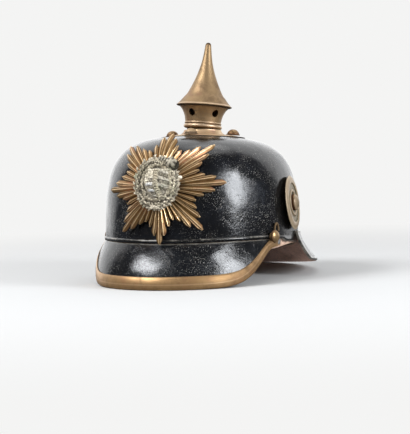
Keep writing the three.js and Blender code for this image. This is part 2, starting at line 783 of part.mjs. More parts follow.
const helmet = new THREE.Group();
helmet.add(
	piece('shell', makeShell(), finishes.leather),
	piece('front_visor', makeFrontVisor(), finishes.leather),
	piece('visor_trim', flatFooted(trim, restLevel), finishes.brass),
	piece('rear_visor', flatFooted(rearVisor, restLevel), finishes.leather),
	piece('sweatband', makeSweatband(), finishes.hide),
	piece('base_plate', makeBasePlate().translate(0, SHELL.centreY, 0), finishes.brass),
	...plateStuds(),
	makeSpike(),
	piece('star_plate', makeStarPlate(), finishes.rays),
	piece('wreath_badge', makeWreathBadge(), finishes.whiteMetal),
	placeCockade(),
	placeSideStud('left', STUD_LEFT),
	placeSideStud('right', STUD_RIGHT),
	placeSideLug()
);
helmet.rotation.x = -REST.pitch;
helmet.updateMatrixWorld(true);
const span = new THREE.Box3().setFromObject(helmet, true);
helmet.position.set(0, -(span.min.y + span.max.y) / 2, -span.min.z);

const spikedHelmet = new THREE.Group();
spikedHelmet.add(helmet);

export default spikedHelmet;
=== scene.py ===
"""Looks of a spiked leather helmet with brass fittings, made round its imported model.

Shapes are worked out in millimetres in the helmet's own level frame: front at -Y, the wearer's
left at +X, and the seam of the front visor at height 0. Angles round it are counted from the front.
"""
import random
from math import acos, atan2, cos, hypot, pi, radians, sin, tan
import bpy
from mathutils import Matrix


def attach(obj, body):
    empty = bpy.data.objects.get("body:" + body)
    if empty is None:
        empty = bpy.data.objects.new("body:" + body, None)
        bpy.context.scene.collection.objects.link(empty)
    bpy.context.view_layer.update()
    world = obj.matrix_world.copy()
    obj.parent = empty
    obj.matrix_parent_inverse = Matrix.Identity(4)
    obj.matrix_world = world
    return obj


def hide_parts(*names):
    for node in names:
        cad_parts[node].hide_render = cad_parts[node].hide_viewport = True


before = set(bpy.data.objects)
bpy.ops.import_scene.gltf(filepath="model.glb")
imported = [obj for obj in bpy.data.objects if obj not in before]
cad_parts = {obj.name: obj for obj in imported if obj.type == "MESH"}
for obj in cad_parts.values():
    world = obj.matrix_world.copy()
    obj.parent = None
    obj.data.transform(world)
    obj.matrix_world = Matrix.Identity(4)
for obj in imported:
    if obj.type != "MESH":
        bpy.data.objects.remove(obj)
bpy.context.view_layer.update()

from types import SimpleNamespace as Sizes

import bmesh
import bpy
from mathutils import Matrix, Quaternion, Vector, noise

DICE = random.Random(7)

# ---- sizes, in millimetres and radians ----

MM = 0.001
UP = Vector((0, 0, 1))
PITCH = radians(4.6)
CENTRE_Y = -3
SHELL = Sizes(half_width=88, half_length=105, height=99.6, fullness=3.9, wall=2.5, vent=8)
RIM = Sizes(rise=10.5, fall=5.5)
SIDE_EDGE = Sizes(
    drop=2.4, start=radians(79.8), full=radians(84.8), fade_from=radians(98),
    fade_to=radians(112),
)
BEAD = Sizes(proud=1.0, top=2.9, fade_from=radians(80), fade_to=radians(92))
FRONT_VISOR = Sizes(
    turn=radians(-2.7), span=radians(78.4), wall=2.2, seam=-0.3, roundness=1.8, sweep=0.06,
    drop=34.3, drop_end=5, shoulder=8.9, rounding=3.8,
    flare=19, flare_end=0.2, flare_shoulder=7.4, flare_rounding=0.4,
    bent_in=0.5, bent_from=0.79, bent_to=0.93,
)
TRIM = Sizes(height=10.5, sheet=0.8, shown_sheet=0.55, room=0.3, crown=0.7, reach=0.985)
REAR_VISOR = Sizes(
    start=radians(95.5), wall=2.2, half_width=103, half_length=155, seam_side=12.6, seam_back=9,
    edge_side=-14, edge_back=-17.4, turned_up=1.08, hollowness=1.5, hug=2.65, groove=0.9, ridge=0.82,
)
SWEATBAND = Sizes(
    wall=1.5, height=32, lean=1.3, gap=2.8, peek=3.4, peek_front=6.4, scallop=1.2, scallops=24,
)
PLATE = Sizes(
    radius=40, base=99.9, sheet=1, rise=1.3, foot=22, collar=17.6, collar_wall=1.7, top=107, bore=12,
)
PLATE_STUD = Sizes(out=30.5, radius=6.1, lift=0.3)
SPIKE = Sizes(lean_left=radians(3.7), lean_back=radians(1.3), foot=108.6)
NECK = Sizes(bead=2.5, groove=3.95, second_bead=5.3, rim=20.6, sheet=1.2, spigot=14.6, spigot_in=13.4)
VENT = Sizes(count=5, radius=3.3, up=13.9, first=radians(-15.5))
STAR = Sizes(
    x=0.8, z=50, front_y=-112, bow=78, bend_length=60, bend=radians(67), sheet=1, ridge=2.1,
    reach=55.6, taller=4.5, wider=1.9, points=8, rays=6,
    tips=(1, 0.84, 0.7, 0.62, 0.7, 0.84), fan=(0, 6.9, 14, 22.5, 31, 38.1),
    turned=(2, 3, -4.5, 0, 0, 0, -1.5, 0), longer=(0, 0, 2, 0, 1, 3.5, 2, 0),
)
BADGE = Sizes(across=20.6, up=23.4, x=-2.6, y=2.8, back=2.7, dome=2.4)
SHIELD = Sizes(x=2.8, foot=-12, top=11, half_width=12.3, bars=4.3)
CROWN = Sizes(x=6.6, y=15.4, tilt=radians(16), ball_x=13.0, ball_y=16.6, ball=4.6)
COCKADE = Sizes(y=-5, z=38, tilt=radians(6), turn=radians(5), foot=0.8)
SIDE_STUD = Sizes(radius=5.7, z=6.8, shank=3.2, shank_top=2.4)
LUG = Sizes(angle=radians(70.5), foot=12, half_width=3, height=6.5, wire=1)


def level_to_rest():
    """Takes the level frame, in millimetres, to the frame in which the helmet rests, in metres."""
    upright = Matrix.Rotation(PITCH, 4, "X")
    plate = [upright @ v.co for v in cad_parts["base_plate"].data.vertices]
    middle_y = (min(p.y for p in plate) + max(p.y for p in plate)) / 2
    shift = Vector((0, middle_y - CENTRE_Y * MM, min(p.z for p in plate) - PLATE.base * MM))
    return Matrix.Rotation(-PITCH, 4, "X") @ Matrix.Translation(shift) @ Matrix.Scale(MM, 4)


TO_REST = level_to_rest()


def ease(start, end, value):
    """Goes smoothly from 0 at the start to 1 at the end, whichever of them is larger."""
    share = min(max((value - start) / (end - start), 0), 1)
    return share * share * (3 - 2 * share)


def near(value, centre, reach, full=0):
    """1 at a centre, or while no further from it than full, and 0 from the reach onwards."""
    return ease(reach, full, abs(value - centre))


def blend(start, end, share):
    return start + (end - start) * share


def steps(start, end, count):
    return [blend(start, end, i / count) for i in range(count + 1)]


def arc(centre_r, centre_z, radius, start, end, count=6, rise=None):
    """Points of a profile along a round stretch, with angles in degrees counted from straight outwards."""
    rise = radius if rise is None else rise
    turns = [radians(a) for a in steps(start, end, count)]
    return [(centre_r + radius * cos(a), centre_z + rise * sin(a)) for a in turns]


def curve_through(points, count):
    """Points of a smooth curve through (radius, height) points."""
    path = [Vector(p) for p in points]
    path = [path[0] * 2 - path[1]] + path + [path[-1] * 2 - path[-2]]
    curve = []
    for a, b, c, d in zip(path, path[1:], path[2:], path[3:]):
        for i in range(count):
            t = i / count
            twice = 2 * b + (c - a) * t + (2 * a - 5 * b + 4 * c - d) * t * t
            curve.append(0.5 * (twice + (3 * b - a - 3 * c + d) * t ** 3))
    curve.append(path[-2])
    return [(p.x, p.y) for p in curve]


# ---- the helmet's plan ----

def oval(angle, half_width, half_length):
    return Vector((half_width * sin(angle), CENTRE_Y - half_length * cos(angle), 0))


def on_shell(angle, inset=0):
    return oval(angle, SHELL.half_width - inset, SHELL.half_length - inset)


def shell_normal(angle):
    return Vector((sin(angle) / SHELL.half_width, -cos(angle) / SHELL.half_length, 0)).normalized()


def from_front(angle):
    """How far an angle is from the front, whichever side it is on."""
    return acos(max(-1, min(1, cos(angle))))


def rim_height(angle):
    turn = 1 - cos(angle)
    return RIM.rise * turn - RIM.fall * turn * turn


def side_drop(angle):
    """How much lower the shell's edge hangs where no visor covers it."""
    past = ease(SIDE_EDGE.start, SIDE_EDGE.full, from_front(angle - FRONT_VISOR.turn))
    return SIDE_EDGE.drop * past * (1 - ease(SIDE_EDGE.fade_from, SIDE_EDGE.fade_to, from_front(angle)))


# ---- mesh tools ----

def new_mesh():
    bm = bmesh.new()
    bm.verts.layers.float.new("hollow")
    bm.verts.layers.float.new("wear_and_highlight")
    return bm


def marks_of(bm):
    """The marks each point carries: its hollowness, darkened as tarnish and painted shade, and its
    lightening by wear and painted highlights.
    """
    return bm.verts.layers.float["hollow"], bm.verts.layers.float["wear_and_highlight"]


def mark(bm, name, value_at):
    layer = bm.verts.layers.float[name]
    for v in bm.verts:
        v[layer] = value_at(v.co)


def add_patch(bm, columns, rows, place):
    """Adds a sheet of quads. place(u, v), with u and v from 0 to 1, gives a point and its marks."""
    hollow, wear_and_highlight = marks_of(bm)
    made = bmesh.ops.create_grid(bm, x_segments=columns, y_segments=rows, size=0.5)["verts"]
    for v in made:
        point, deep, lightened = (*place(v.co.x + 0.5, v.co.y + 0.5), 0, 0)[:3]
        v.co = point
        v[hollow] = deep
        v[wear_and_highlight] = lightened


def add_turned(bm, profile, count=96, ring=False):
    """Adds a surface of revolution about Z from (radius, height) points."""
    verts = [bm.verts.new((radius, 0, height)) for radius, height in profile]
    ends = verts[1:] + verts[:1] if ring else verts[1:]
    edges = [bm.edges.new(pair) for pair in zip(verts, ends)]
    bmesh.ops.spin(
        bm, geom=verts + edges, cent=(0, 0, 0), axis=(0, 0, 1), angle=2 * pi, steps=count, use_merge=True
    )
    bmesh.ops.remove_doubles(bm, verts=bm.verts, dist=1e-4)
    bmesh.ops.recalc_face_normals(bm, faces=bm.faces)


def moved(bm, matrix, verts=None):
    bmesh.ops.transform(bm, matrix=matrix, verts=verts or bm.verts)


def closed_up(bm):
    bmesh.ops.remove_doubles(bm, verts=bm.verts, dist=1e-3)


def sheet_round(start, seen):
    """A face and all that are joined to it, each of which is added to those already seen."""
    sheet, queue = [], [start]
    seen.add(start)
    while queue:
        face = queue.pop()
        sheet.append(face)
        for other in (f for edge in face.edges for f in edge.link_faces):
            if other not in seen:
                seen.add(other)
                queue.append(other)
    return sheet


def turn_sheets_out(bm, inside):
    """Turns round each separate open sheet whose faces point towards a point inside the helmet."""
    bm.normal_update()
    seen = set()
    for start in bm.faces:
        if start in seen:
            continue
        sheet = sheet_round(start, seen)
        is_open = any(len(e.link_faces) == 1 for f in sheet for e in f.edges)
        facing = sum(f.normal.dot(f.calc_center_median() - inside) * f.calc_area() for f in sheet)
        if is_open and facing < 0:
            bmesh.ops.reverse_faces(bm, faces=sheet)


def mesh_from(bm, name):
    """A mesh with a bmesh's faces. The bmesh is freed."""
    mesh = bpy.data.meshes.new(name)
    bm.to_mesh(mesh)
    bm.free()
    return mesh


def put_in_scene(name, data):
    made = bpy.data.objects.new(name, data)
    bpy.context.scene.collection.objects.link(made)
    return made


def add_piece(name, bm, materials, cad_node, sharp=35, place=None):
    """Makes a mesh, at its place in the level frame, the piece that stands for a CAD node."""
    if place:
        moved(bm, place)
    moved(bm, TO_REST)
    mesh = mesh_from(bm, name)
    mesh.shade_smooth()
    mesh.set_sharp_from_angle(angle=radians(sharp))
    for material in materials:
        mesh.materials.append(material)
    piece = put_in_scene(name, mesh)
    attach(piece, "root")
    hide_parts(cad_node)
    return piece


def thicken(piece, wall, inner_slot=0):
    """Gives a sheet its wall, inwards from the faces' outer side."""
    solid = piece.modifiers.new("Wall", "SOLIDIFY")
    solid.thickness = wall * MM
    solid.offset = -1
    solid.material_offset = inner_slot
    solid.material_offset_rim = 0


def soften(piece, width, segments=3, angle=35, material=-1):
    """Rounds a piece's sharp edges."""
    edge = piece.modifiers.new("Edge", "BEVEL")
    edge.width = width * MM
    edge.segments = segments
    edge.limit_method = "ANGLE"
    edge.angle_limit = radians(angle)
    edge.harden_normals = True
    edge.material = material


# ---- material tools ----

def fill(tree, made, inputs):
    """Links a node's sockets to other nodes, or sets their values. Returns its outputs."""
    for socket, value in inputs.items():
        if isinstance(value, bpy.types.NodeSocket):
            tree.links.new(value, made.inputs[socket])
        else:
            made.inputs[socket].default_value = value
    return made.outputs


def node(tree, kind, inputs=None, **settings):
    """Adds a shader node and returns its outputs."""
    made = tree.nodes.new("ShaderNode" + kind)
    for key, value in settings.items():
        setattr(made, key, value)
    return fill(tree, made, inputs or {})


def math_of(tree, operation, a, b, clamp=False):
    return node(tree, "Math", {0: a, 1: b}, operation=operation, use_clamp=clamp)[0]


def times(tree, a, b, clamp=False):
    return math_of(tree, "MULTIPLY", a, b, clamp)


def band(tree, value, low, high, to_low=0.0, to_high=1.0):
    """Eases a value from to_low at low to to_high at high."""
    inputs = {"Value": value, "From Min": low, "From Max": high, "To Min": to_low, "To Max": to_high}
    return node(tree, "MapRange", inputs, interpolation_type="SMOOTHSTEP")[0]


def mix(tree, share, first, second):
    """Mixes two colours, each of them a socket or (red, green, blue)."""
    colours = [c if isinstance(c, bpy.types.NodeSocket) else (*c, 1) for c in (first, second)]
    return node(tree, "Mix", {0: share, 6: colours[0], 7: colours[1]}, data_type="RGBA")[2]


def clouds(tree, where, scale, detail=4.0, roughness=0.55, distortion=0.0):
    """Cloudy noise, about from 0.3 to 0.7."""
    inputs = {"Vector": where, "Scale": scale, "Detail": detail}
    return node(tree, "TexNoise", {**inputs, "Roughness": roughness, "Distortion": distortion})["Fac"]


def cell_edges(tree, where, scale):
    """Distance to the nearest edge between irregular cells."""
    inputs = {"Vector": where, "Scale": scale, "Randomness": 1.0}
    return node(tree, "TexVoronoi", inputs, feature="DISTANCE_TO_EDGE")["Distance"]


def object_place(tree):
    return node(tree, "TexCoord")["Object"]


def stretched(tree, where, scale, turn=(0, 0, 0)):
    return node(tree, "Mapping", {"Vector": where, "Scale": scale, "Rotation": turn})[0]


def mark_of(tree, name):
    return node(tree, "Attribute", attribute_name=name)["Fac"]


def new_group(name, inputs, outputs):
    """A node group with number inputs and the given outputs; returns it, its given values and its end."""
    tree = bpy.data.node_groups.new(name, "ShaderNodeTree")
    for label, value in inputs.items():
        socket = tree.interface.new_socket(label, in_out="INPUT", socket_type="NodeSocketFloat")
        socket.default_value = value
    for label in outputs:
        tree.interface.new_socket(label, in_out="OUTPUT", socket_type="NodeSocketFloat")
    return tree, tree.nodes.new("NodeGroupInput").outputs, tree.nodes.new("NodeGroupOutput")


def use_group(tree, group, **inputs):
    made = tree.nodes.new("ShaderNodeGroup")
    made.node_tree = group
    return fill(tree, made, inputs)


def dust_group():
    """Pale specks gathered in clusters, and the fine cracks of an old varnish."""
    tree, given, out = new_group("dust_and_crazing", {"Size": 900.0, "Cover": 0.5}, ("Specks", "Cracks"))
    where = object_place(tree)
    cells = node(tree, "TexVoronoi", {"Vector": where, "Scale": given["Size"], "Randomness": 1.0})
    dots = band(tree, cells["Distance"], 0.36, 0.16)
    keep = band(tree, node(tree, "SeparateColor", {0: cells["Color"]})[0], 0.7, 0.84)
    powder = band(tree, clouds(tree, where, 1900, 2, 0.5), 0.64, 0.72, 0, 0.45)
    gathered = band(tree, clouds(tree, where, 46, 6, 0.66), 0.38, 0.68)
    grains = math_of(tree, "MAXIMUM", times(tree, dots, keep), powder)
    lines = band(tree, cell_edges(tree, where, 330.0), 0.05, 0.0)
    torn = band(tree, clouds(tree, where, 75, 5, 0.7), 0.5, 0.62)
    specks = times(tree, times(tree, grains, gathered), given["Cover"])
    fill(tree, out, {"Specks": specks, "Cracks": times(tree, lines, torn)})
    return tree


def scratch_group():
    """Thin scratches in two crossing directions."""
    tree, _, out = new_group("scratches", {}, ("Scratches",))
    where = object_place(tree)
    lines = []
    for turn, along in (((0.5, 0.2, 0.4), 60), ((-0.3, 0.9, 1.7), 75)):
        drawn_out = stretched(tree, where, (along, 2600, 900), turn)
        lines.append(band(tree, clouds(tree, drawn_out, 1.0, 2, 0.5), 0.69, 0.76))
    patches = band(tree, clouds(tree, where, 28, 3, 0.6), 0.46, 0.62)
    fill(tree, out, {"Scratches": times(tree, math_of(tree, "MAXIMUM", *lines), patches)})
    return tree


def patina_and_shade_group():
    """Tarnish of old metal: broad stains, reddened spots, hollows darkened as tarnish and painted shade,
    and its grain.
    """
    effects = ("Stains", "Warm", "Shade and tarnish in hollows", "Grain")
    tree, given, out = new_group("patina_and_hollow_shade", {"Scale": 70.0, "Depth": 1.0}, effects)
    where = object_place(tree)
    broad = clouds(tree, where, given["Scale"], 8, 0.68, 0.4)
    grain = clouds(tree, where, 1500, 4, 0.7)
    ragged = node(tree, "Math", {0: grain, 1: 0.6, 2: 0.7}, operation="MULTIPLY_ADD")[0]
    fill(tree, out, {
        "Stains": band(tree, broad, 0.42, 0.7),
        "Warm": band(tree, clouds(tree, where, 38, 5, 0.6, 0.7), 0.5, 0.68),
        # The hollows' darkening is partly tarnish and partly painted shade in recesses and gaps.
        "Shade and tarnish in hollows": times(tree, times(tree, mark_of(tree, "hollow"), given["Depth"]), ragged, True),
        "Grain": grain,
    })
    return tree


DUST, SCRATCHES, PATINA_AND_SHADE = dust_group(), scratch_group(), patina_and_shade_group()


def new_material(name):
    material = bpy.data.materials.new(name)
    material.use_nodes = True
    tree = material.node_tree
    return material, tree, tree.nodes["Principled BSDF"]


def bump(tree, height, distance, strength=1.0, normal=None):
    inputs = {"Height": height, "Distance": distance, "Strength": strength}
    if normal:
        inputs["Normal"] = normal
    return node(tree, "Bump", inputs)[0]


def leather_material(name, haze, dust_cover, shine, gloss):
    """Varnished black leather with dust in its pores, crazing and a rubbed seam."""
    material, tree, surface = new_material(name)
    where = object_place(tree)
    specks, cracks = use_group(tree, DUST, Size=1200.0, Cover=dust_cover)
    scratches = use_group(tree, SCRATCHES)[0]
    smudge = band(tree, clouds(tree, where, 26, 6, 0.65, 0.5), 0.42, 0.72)
    pores = clouds(tree, where, 1300, 3, 0.6)
    ragged = band(tree, clouds(tree, where, 110, 8, 0.78), 0.36, 0.58)
    lightened = times(tree, mark_of(tree, "wear_and_highlight"), ragged)
    colour = mix(tree, smudge, (0.0022, 0.0024, 0.003), haze)
    colour = mix(tree, times(tree, cracks, 0.15), colour, (0.11, 0.085, 0.06))
    colour = mix(tree, times(tree, scratches, 0.16), colour, (0.30, 0.29, 0.27))
    colour = mix(tree, specks, colour, (0.52, 0.49, 0.43))
    colour = mix(tree, lightened, colour, (0.46, 0.42, 0.35))
    rough = band(tree, smudge, 0, 1, shine, shine + 0.14)
    rough = math_of(tree, "ADD", rough, band(tree, pores, 0.3, 0.7, -0.05, 0.05))
    dull = times(tree, math_of(tree, "MAXIMUM", specks, lightened), 0.5)
    waves = bump(tree, clouds(tree, where, 34, 3, 0.5), 0.0012, 0.5)
    rippled = bump(tree, clouds(tree, where, 220, 6, 0.66), 0.00033, 0.45, waves)
    pored = bump(tree, pores, 0.0001, 0.35, rippled)
    cracked = math_of(tree, "SUBTRACT", specks, times(tree, cracks, 0.5))
    fill(tree, surface, {
        "Base Color": colour, "Specular IOR Level": gloss,
        "Roughness": math_of(tree, "ADD", rough, dull, True),
        "Normal": bump(tree, cracked, 0.00015, 0.5, pored),
    })
    return material


def metal_material(name, bright, dark, warm, hollow, rough, metal, rings=0.0, chased=0.0, polish_and_highlight=None):
    """Old sheet metal: lightened by wear and painted highlights, dark in its hollows as tarnish and
    painted shade, stained in between.
    """
    material, tree, surface = new_material(name)
    where = object_place(tree)
    stains, reddened, hollows, grain = use_group(tree, PATINA_AND_SHADE, Scale=70.0, Depth=1.0)
    scratches = use_group(tree, SCRATCHES)[0]
    colour = mix(tree, stains, bright, dark)
    colour = mix(tree, times(tree, reddened, 0.75), colour, warm)
    colour = mix(tree, band(tree, grain, 0.57, 0.70, 0, 0.5), colour, tuple(0.7 * c for c in dark))
    colour = mix(tree, times(tree, scratches, 0.4), colour, bright)
    # Lightened where marked: wear, and painted highlights on ridges, lines and beads.
    lightened = times(tree, mark_of(tree, "wear_and_highlight"), band(tree, grain, 0.3, 0.5))
    colour = mix(tree, lightened, colour, polish_and_highlight or tuple(min(1.5 * c + 0.14, 1) for c in bright))
    # Hollows take the hollow colour: tarnish, and painted shade in recesses and gaps.
    colour = mix(tree, hollows, colour, hollow)
    matt = band(tree, stains, 0, 1, rough, rough + 0.16)
    matt = math_of(tree, "ADD", matt, times(tree, lightened, -0.12))
    matt = math_of(tree, "ADD", matt, times(tree, hollows, 0.35), True)
    dents = bump(tree, clouds(tree, where, 90, 4, 0.5), 0.0006, 0.35)
    normal = bump(tree, scratches, 0.00006, 0.5, bump(tree, grain, 0.00008, 0.6, dents))
    if chased:
        engraved = clouds(tree, where, 760, 3, 0.6, 1.5)
        normal = bump(tree, engraved, 0.0006, chased, normal)
        # The dips of the chasing are darkened as tarnish and as painted shade.
        colour = mix(tree, band(tree, engraved, 0.5, 0.38, 0, 0.4), colour, hollow)
    if rings:
        turned = stretched(tree, where, (1, 1, 2200))
        normal = bump(tree, clouds(tree, turned, 1.0, 2, 0.5), 0.00004, rings, normal)
    fill(tree, surface, {"Base Color": colour, "Metallic": metal, "Roughness": matt, "Normal": normal})
    return material


def hide_material(name, pale, deep, rough):
    """Bare hide, matt and creased, darker where it has been handled."""
    material, tree, surface = new_material(name)
    where = object_place(tree)
    stains = band(tree, clouds(tree, where, 45, 7, 0.66, 0.4), 0.38, 0.68)
    creases = cell_edges(tree, where, 260.0)
    colour = mix(tree, stains, pale, deep)
    colour = mix(tree, band(tree, creases, 0.08, 0.0, 0.0, 0.5), colour, tuple(c * 0.4 for c in deep))
    colour = mix(tree, mark_of(tree, "wear_and_highlight"), colour, (0.26, 0.17, 0.11))
    grain = bump(tree, creases, 0.0002, 0.5)
    fill(tree, surface, {
        "Base Color": colour, "Roughness": band(tree, stains, 0, 1, rough, rough + 0.15),
        "Normal": bump(tree, clouds(tree, where, 900, 4, 0.6), 0.00012, 0.5, grain),
    })
    return material


def cockade_material():
    """Worn tan paint on stamped metal: its marked hollows get dark olive paint in the middle ring and
    painted shade elsewhere.
    """
    material, tree, surface = new_material("cockade_paint")
    where = object_place(tree)
    stains, _, hollows, grain = use_group(tree, PATINA_AND_SHADE, Scale=70.0, Depth=1.0)
    colour = mix(tree, stains, (0.265, 0.192, 0.118), (0.165, 0.118, 0.068))
    colour = mix(tree, times(tree, mark_of(tree, "wear_and_highlight"), 0.7), colour, (0.46, 0.375, 0.26))
    # Marked hollows: the middle ring's dark paint, and painted shade in the grooves and round the hole.
    chipped = band(tree, clouds(tree, where, 420, 5, 0.7), 0.32, 0.47)
    colour = mix(tree, times(tree, hollows, chipped), colour, (0.05, 0.045, 0.014))
    worn_down = bump(tree, clouds(tree, where, 300, 5, 0.65), 0.0002, 0.5)
    fill(tree, surface, {
        "Base Color": colour, "Metallic": 0.3, "Roughness": band(tree, stains, 0, 1, 0.42, 0.62),
        "Normal": bump(tree, grain, 0.0001, 0.5, worn_down),
    })
    return material


LEATHER = leather_material("black_leather", (0.006, 0.0075, 0.011), 0.85, 0.13, 0.55)
VISOR_LEATHER = leather_material("visor_leather", (0.0045, 0.0055, 0.007), 0.6, 0.14, 0.45)
LINING = hide_material("shell_inside", (0.035, 0.026, 0.02), (0.016, 0.012, 0.01), 0.62)
# The visor's inside colour is made pale as painted light, standing in for light bounced up from below.
RUSSET = hide_material("visor_inside", (0.87, 0.55, 0.43), (0.66, 0.41, 0.32), 0.5)
HIDE = hide_material("sweatband_hide", (0.70, 0.50, 0.38), (0.50, 0.33, 0.245), 0.6)
BRASS = metal_material(
    "spike_brass", (0.31, 0.205, 0.105), (0.19, 0.122, 0.064), (0.28, 0.155, 0.09), (0.05, 0.032, 0.018),
    0.5, 0.75, rings=0.5
)
PLATE_BRASS = metal_material(
    "plate_brass", (0.60, 0.43, 0.25), (0.37, 0.25, 0.14), (0.47, 0.28, 0.19), (0.03, 0.019, 0.012),
    0.45, 0.6
)
FITTING_BRASS = metal_material(
    "fitting_brass", (0.36, 0.235, 0.115), (0.21, 0.13, 0.065), (0.31, 0.16, 0.085), (0.10, 0.04, 0.018),
    0.34, 0.8
)
TRIM_BRASS = metal_material(
    "trim_brass", (0.40, 0.24, 0.105), (0.25, 0.15, 0.068), (0.36, 0.18, 0.085), (0.10, 0.062, 0.032),
    0.42, 0.7
)
# Its pale colour for the lightened marks paints highlights along the rays' ridges and at their points.
RAY_BRASS = metal_material(
    "ray_brass", (0.28, 0.16, 0.06), (0.165, 0.088, 0.034), (0.33, 0.15, 0.085), (0.03, 0.017, 0.008),
    0.42, 0.7, polish_and_highlight=(0.90, 0.66, 0.38)
)
WHITE_METAL = metal_material(
    "white_metal", (0.88, 0.79, 0.63), (0.56, 0.50, 0.37), (0.52, 0.53, 0.36), (0.035, 0.03, 0.02),
    0.42, 0.6, chased=0.6
)
COCKADE_PAINT = cockade_material()


# ---- shell ----

def dome_point(elevation, half_width, height):
    """A point of the dome's profile, seen from the side, at an elevation angle."""
    across, up, power = cos(elevation), sin(elevation), SHELL.fullness
    size = (across ** power + up ** power) ** (-1 / power)
    return half_width * size * across, height * size * up


def shell_place(co):
    """Takes a round pot's point to the helmet's oval plan and its waved rim."""
    angle = atan2(co.x, -co.y)
    radius = co.xy.length
    half = SHELL.half_width
    middle = Vector((0, CENTRE_Y, 0))
    on_plan = middle + (on_shell(angle) - middle) * (min(radius, half) / half)
    fade = 1 - ease(BEAD.fade_from, BEAD.fade_to, from_front(angle))
    on_plan += shell_normal(angle) * max(radius - half, 0) * fade
    uneven = 0.22 * noise.noise(co * 0.045) + 0.10 * noise.noise(co * 0.11)
    on_plan += shell_normal(angle) * uneven * min(radius / half, 1)
    waved = rim_height(angle) * (1 - ease(3, 42, co.z))
    on_plan.z = co.z + waved - side_drop(angle) * (1 - ease(0.5, 9, co.z))
    return on_plan


def make_shell():
    half, height, wall = SHELL.half_width, SHELL.height, SHELL.wall
    crown = atan2(height, SHELL.vent * height / half)
    outer = [dome_point(a, half, height) for a in steps(crown, radians(9), 46)]
    straight = [(half, z) for z in (13, 10.5, 8, 6, 4.6, 3.6)]
    bulge = ((0.5, 3.1), (0.9, 2.6), (1, 1.9), (0.85, 1.2), (0.4, 0.6))
    bead = [(half + BEAD.proud * out, z) for out, z in bulge]
    edge = [(half, 0.25), (half - 0.35, 0), (half - wall + 0.35, 0), (half - wall, 0.3)]
    inner = [dome_point(a, half - wall, height - wall) for a in steps(radians(3), crown, 36)]
    bm = new_mesh()
    add_turned(bm, outer + straight + bead + edge + inner, 160, ring=True)
    _, wear_and_highlight = marks_of(bm)
    for v in bm.verts:
        outside = v.co.xy.length > half - 0.6
        beside = ease(radians(70), radians(80), from_front(atan2(v.co.x, -v.co.y)))
        on_bead = near(v.co.z, BEAD.top, 0.8) * (1 - beside)
        on_rim = ease(0.9, 0.2, v.co.z) * beside
        patchy = 0.12 + 0.5 * ease(-0.1, 0.25, noise.noise(v.co * 0.09))
        v[wear_and_highlight] = max(on_bead * patchy, 0.5 * on_rim) if outside and v.co.z < 6 else 0
        v.co = shell_place(v.co)
    middle = Vector((0, CENTRE_Y, 20))
    bm.normal_update()
    for face in bm.faces:
        face.material_index = 1 if face.normal.dot(face.calc_center_median() - middle) < 0 else 0
    add_piece("leather_shell", bm, (LEATHER, LINING), "shell")


# ---- front visor and its trim ----

def visor_share(angle):
    """How far round the visor an angle is, from 0 at its middle to 1 at its ends."""
    return min(abs(angle - FRONT_VISOR.turn) / FRONT_VISOR.span, 1)


def visor_size(angle):
    """How far the visor hangs down and stands out at an angle."""
    share, size = visor_share(angle), FRONT_VISOR
    drop = size.drop_end + size.drop * (1 - share ** size.shoulder) ** size.rounding
    whole = (size.flare - size.flare_end) * (1 - share ** size.flare_shoulder) ** size.flare_rounding
    bend = size.bent_in * ease(size.bent_from, size.bent_to, share) if angle < size.turn else 0
    return drop, size.flare_end + whole * (1 - bend)


def visor_line(angle, share):
    """How far out and how high the visor's outer face is at a share of its depth."""
    drop, flare = visor_size(angle)
    out = flare * (1 - (1 - share) ** FRONT_VISOR.roundness)
    return out, rim_height(angle) + FRONT_VISOR.seam - drop * share


def visor_angle(u, reach=1.0):
    """The angle at a share of the visor's width, with the columns closer together near its ends."""
    share = blend(-reach, reach, u)
    return FRONT_VISOR.turn + FRONT_VISOR.span * (0.45 * share + 0.55 * sin(share * pi / 2))


def visor_point(angle, out, height):
    turn = angle * FRONT_VISOR.sweep
    return on_shell(angle) + Vector((sin(turn), -cos(turn), 0)) * out + UP * height


def beside_visor(angle, share, away, below=0.0):
    """A point at a distance square to the visor's face, and further below its edge."""
    out, height = visor_line(angle, share)
    before, after = visor_line(angle, max(share - 0.02, 0)), visor_line(angle, min(share + 0.02, 1))
    along = Vector((after[0] - before[0], after[1] - before[1])).normalized()
    out, height = out - along.y * away + along.x * below, height + along.x * away + along.y * below
    return visor_point(angle, out, height)


def make_front_visor():
    def place(u, v):
        angle = visor_angle(u)
        uneven = 0.12 * noise.noise(Vector((angle * 5, v * 3, 0)))
        lightened = 0.28 * ease(0.03, 0.0, v) * (1 - 0.5 * ease(0.9, 1, visor_share(angle)))
        return beside_visor(angle, v, uneven), 0, lightened

    bm = new_mesh()
    add_patch(bm, 128, 28, place)
    turn_sheets_out(bm, Vector((0, 20, 0)))
    visor = add_piece("leather_front_visor", bm, (VISOR_LEATHER, LINING), "front_visor")
    thicken(visor, FRONT_VISOR.wall, 1)
    soften(visor, 0.5)


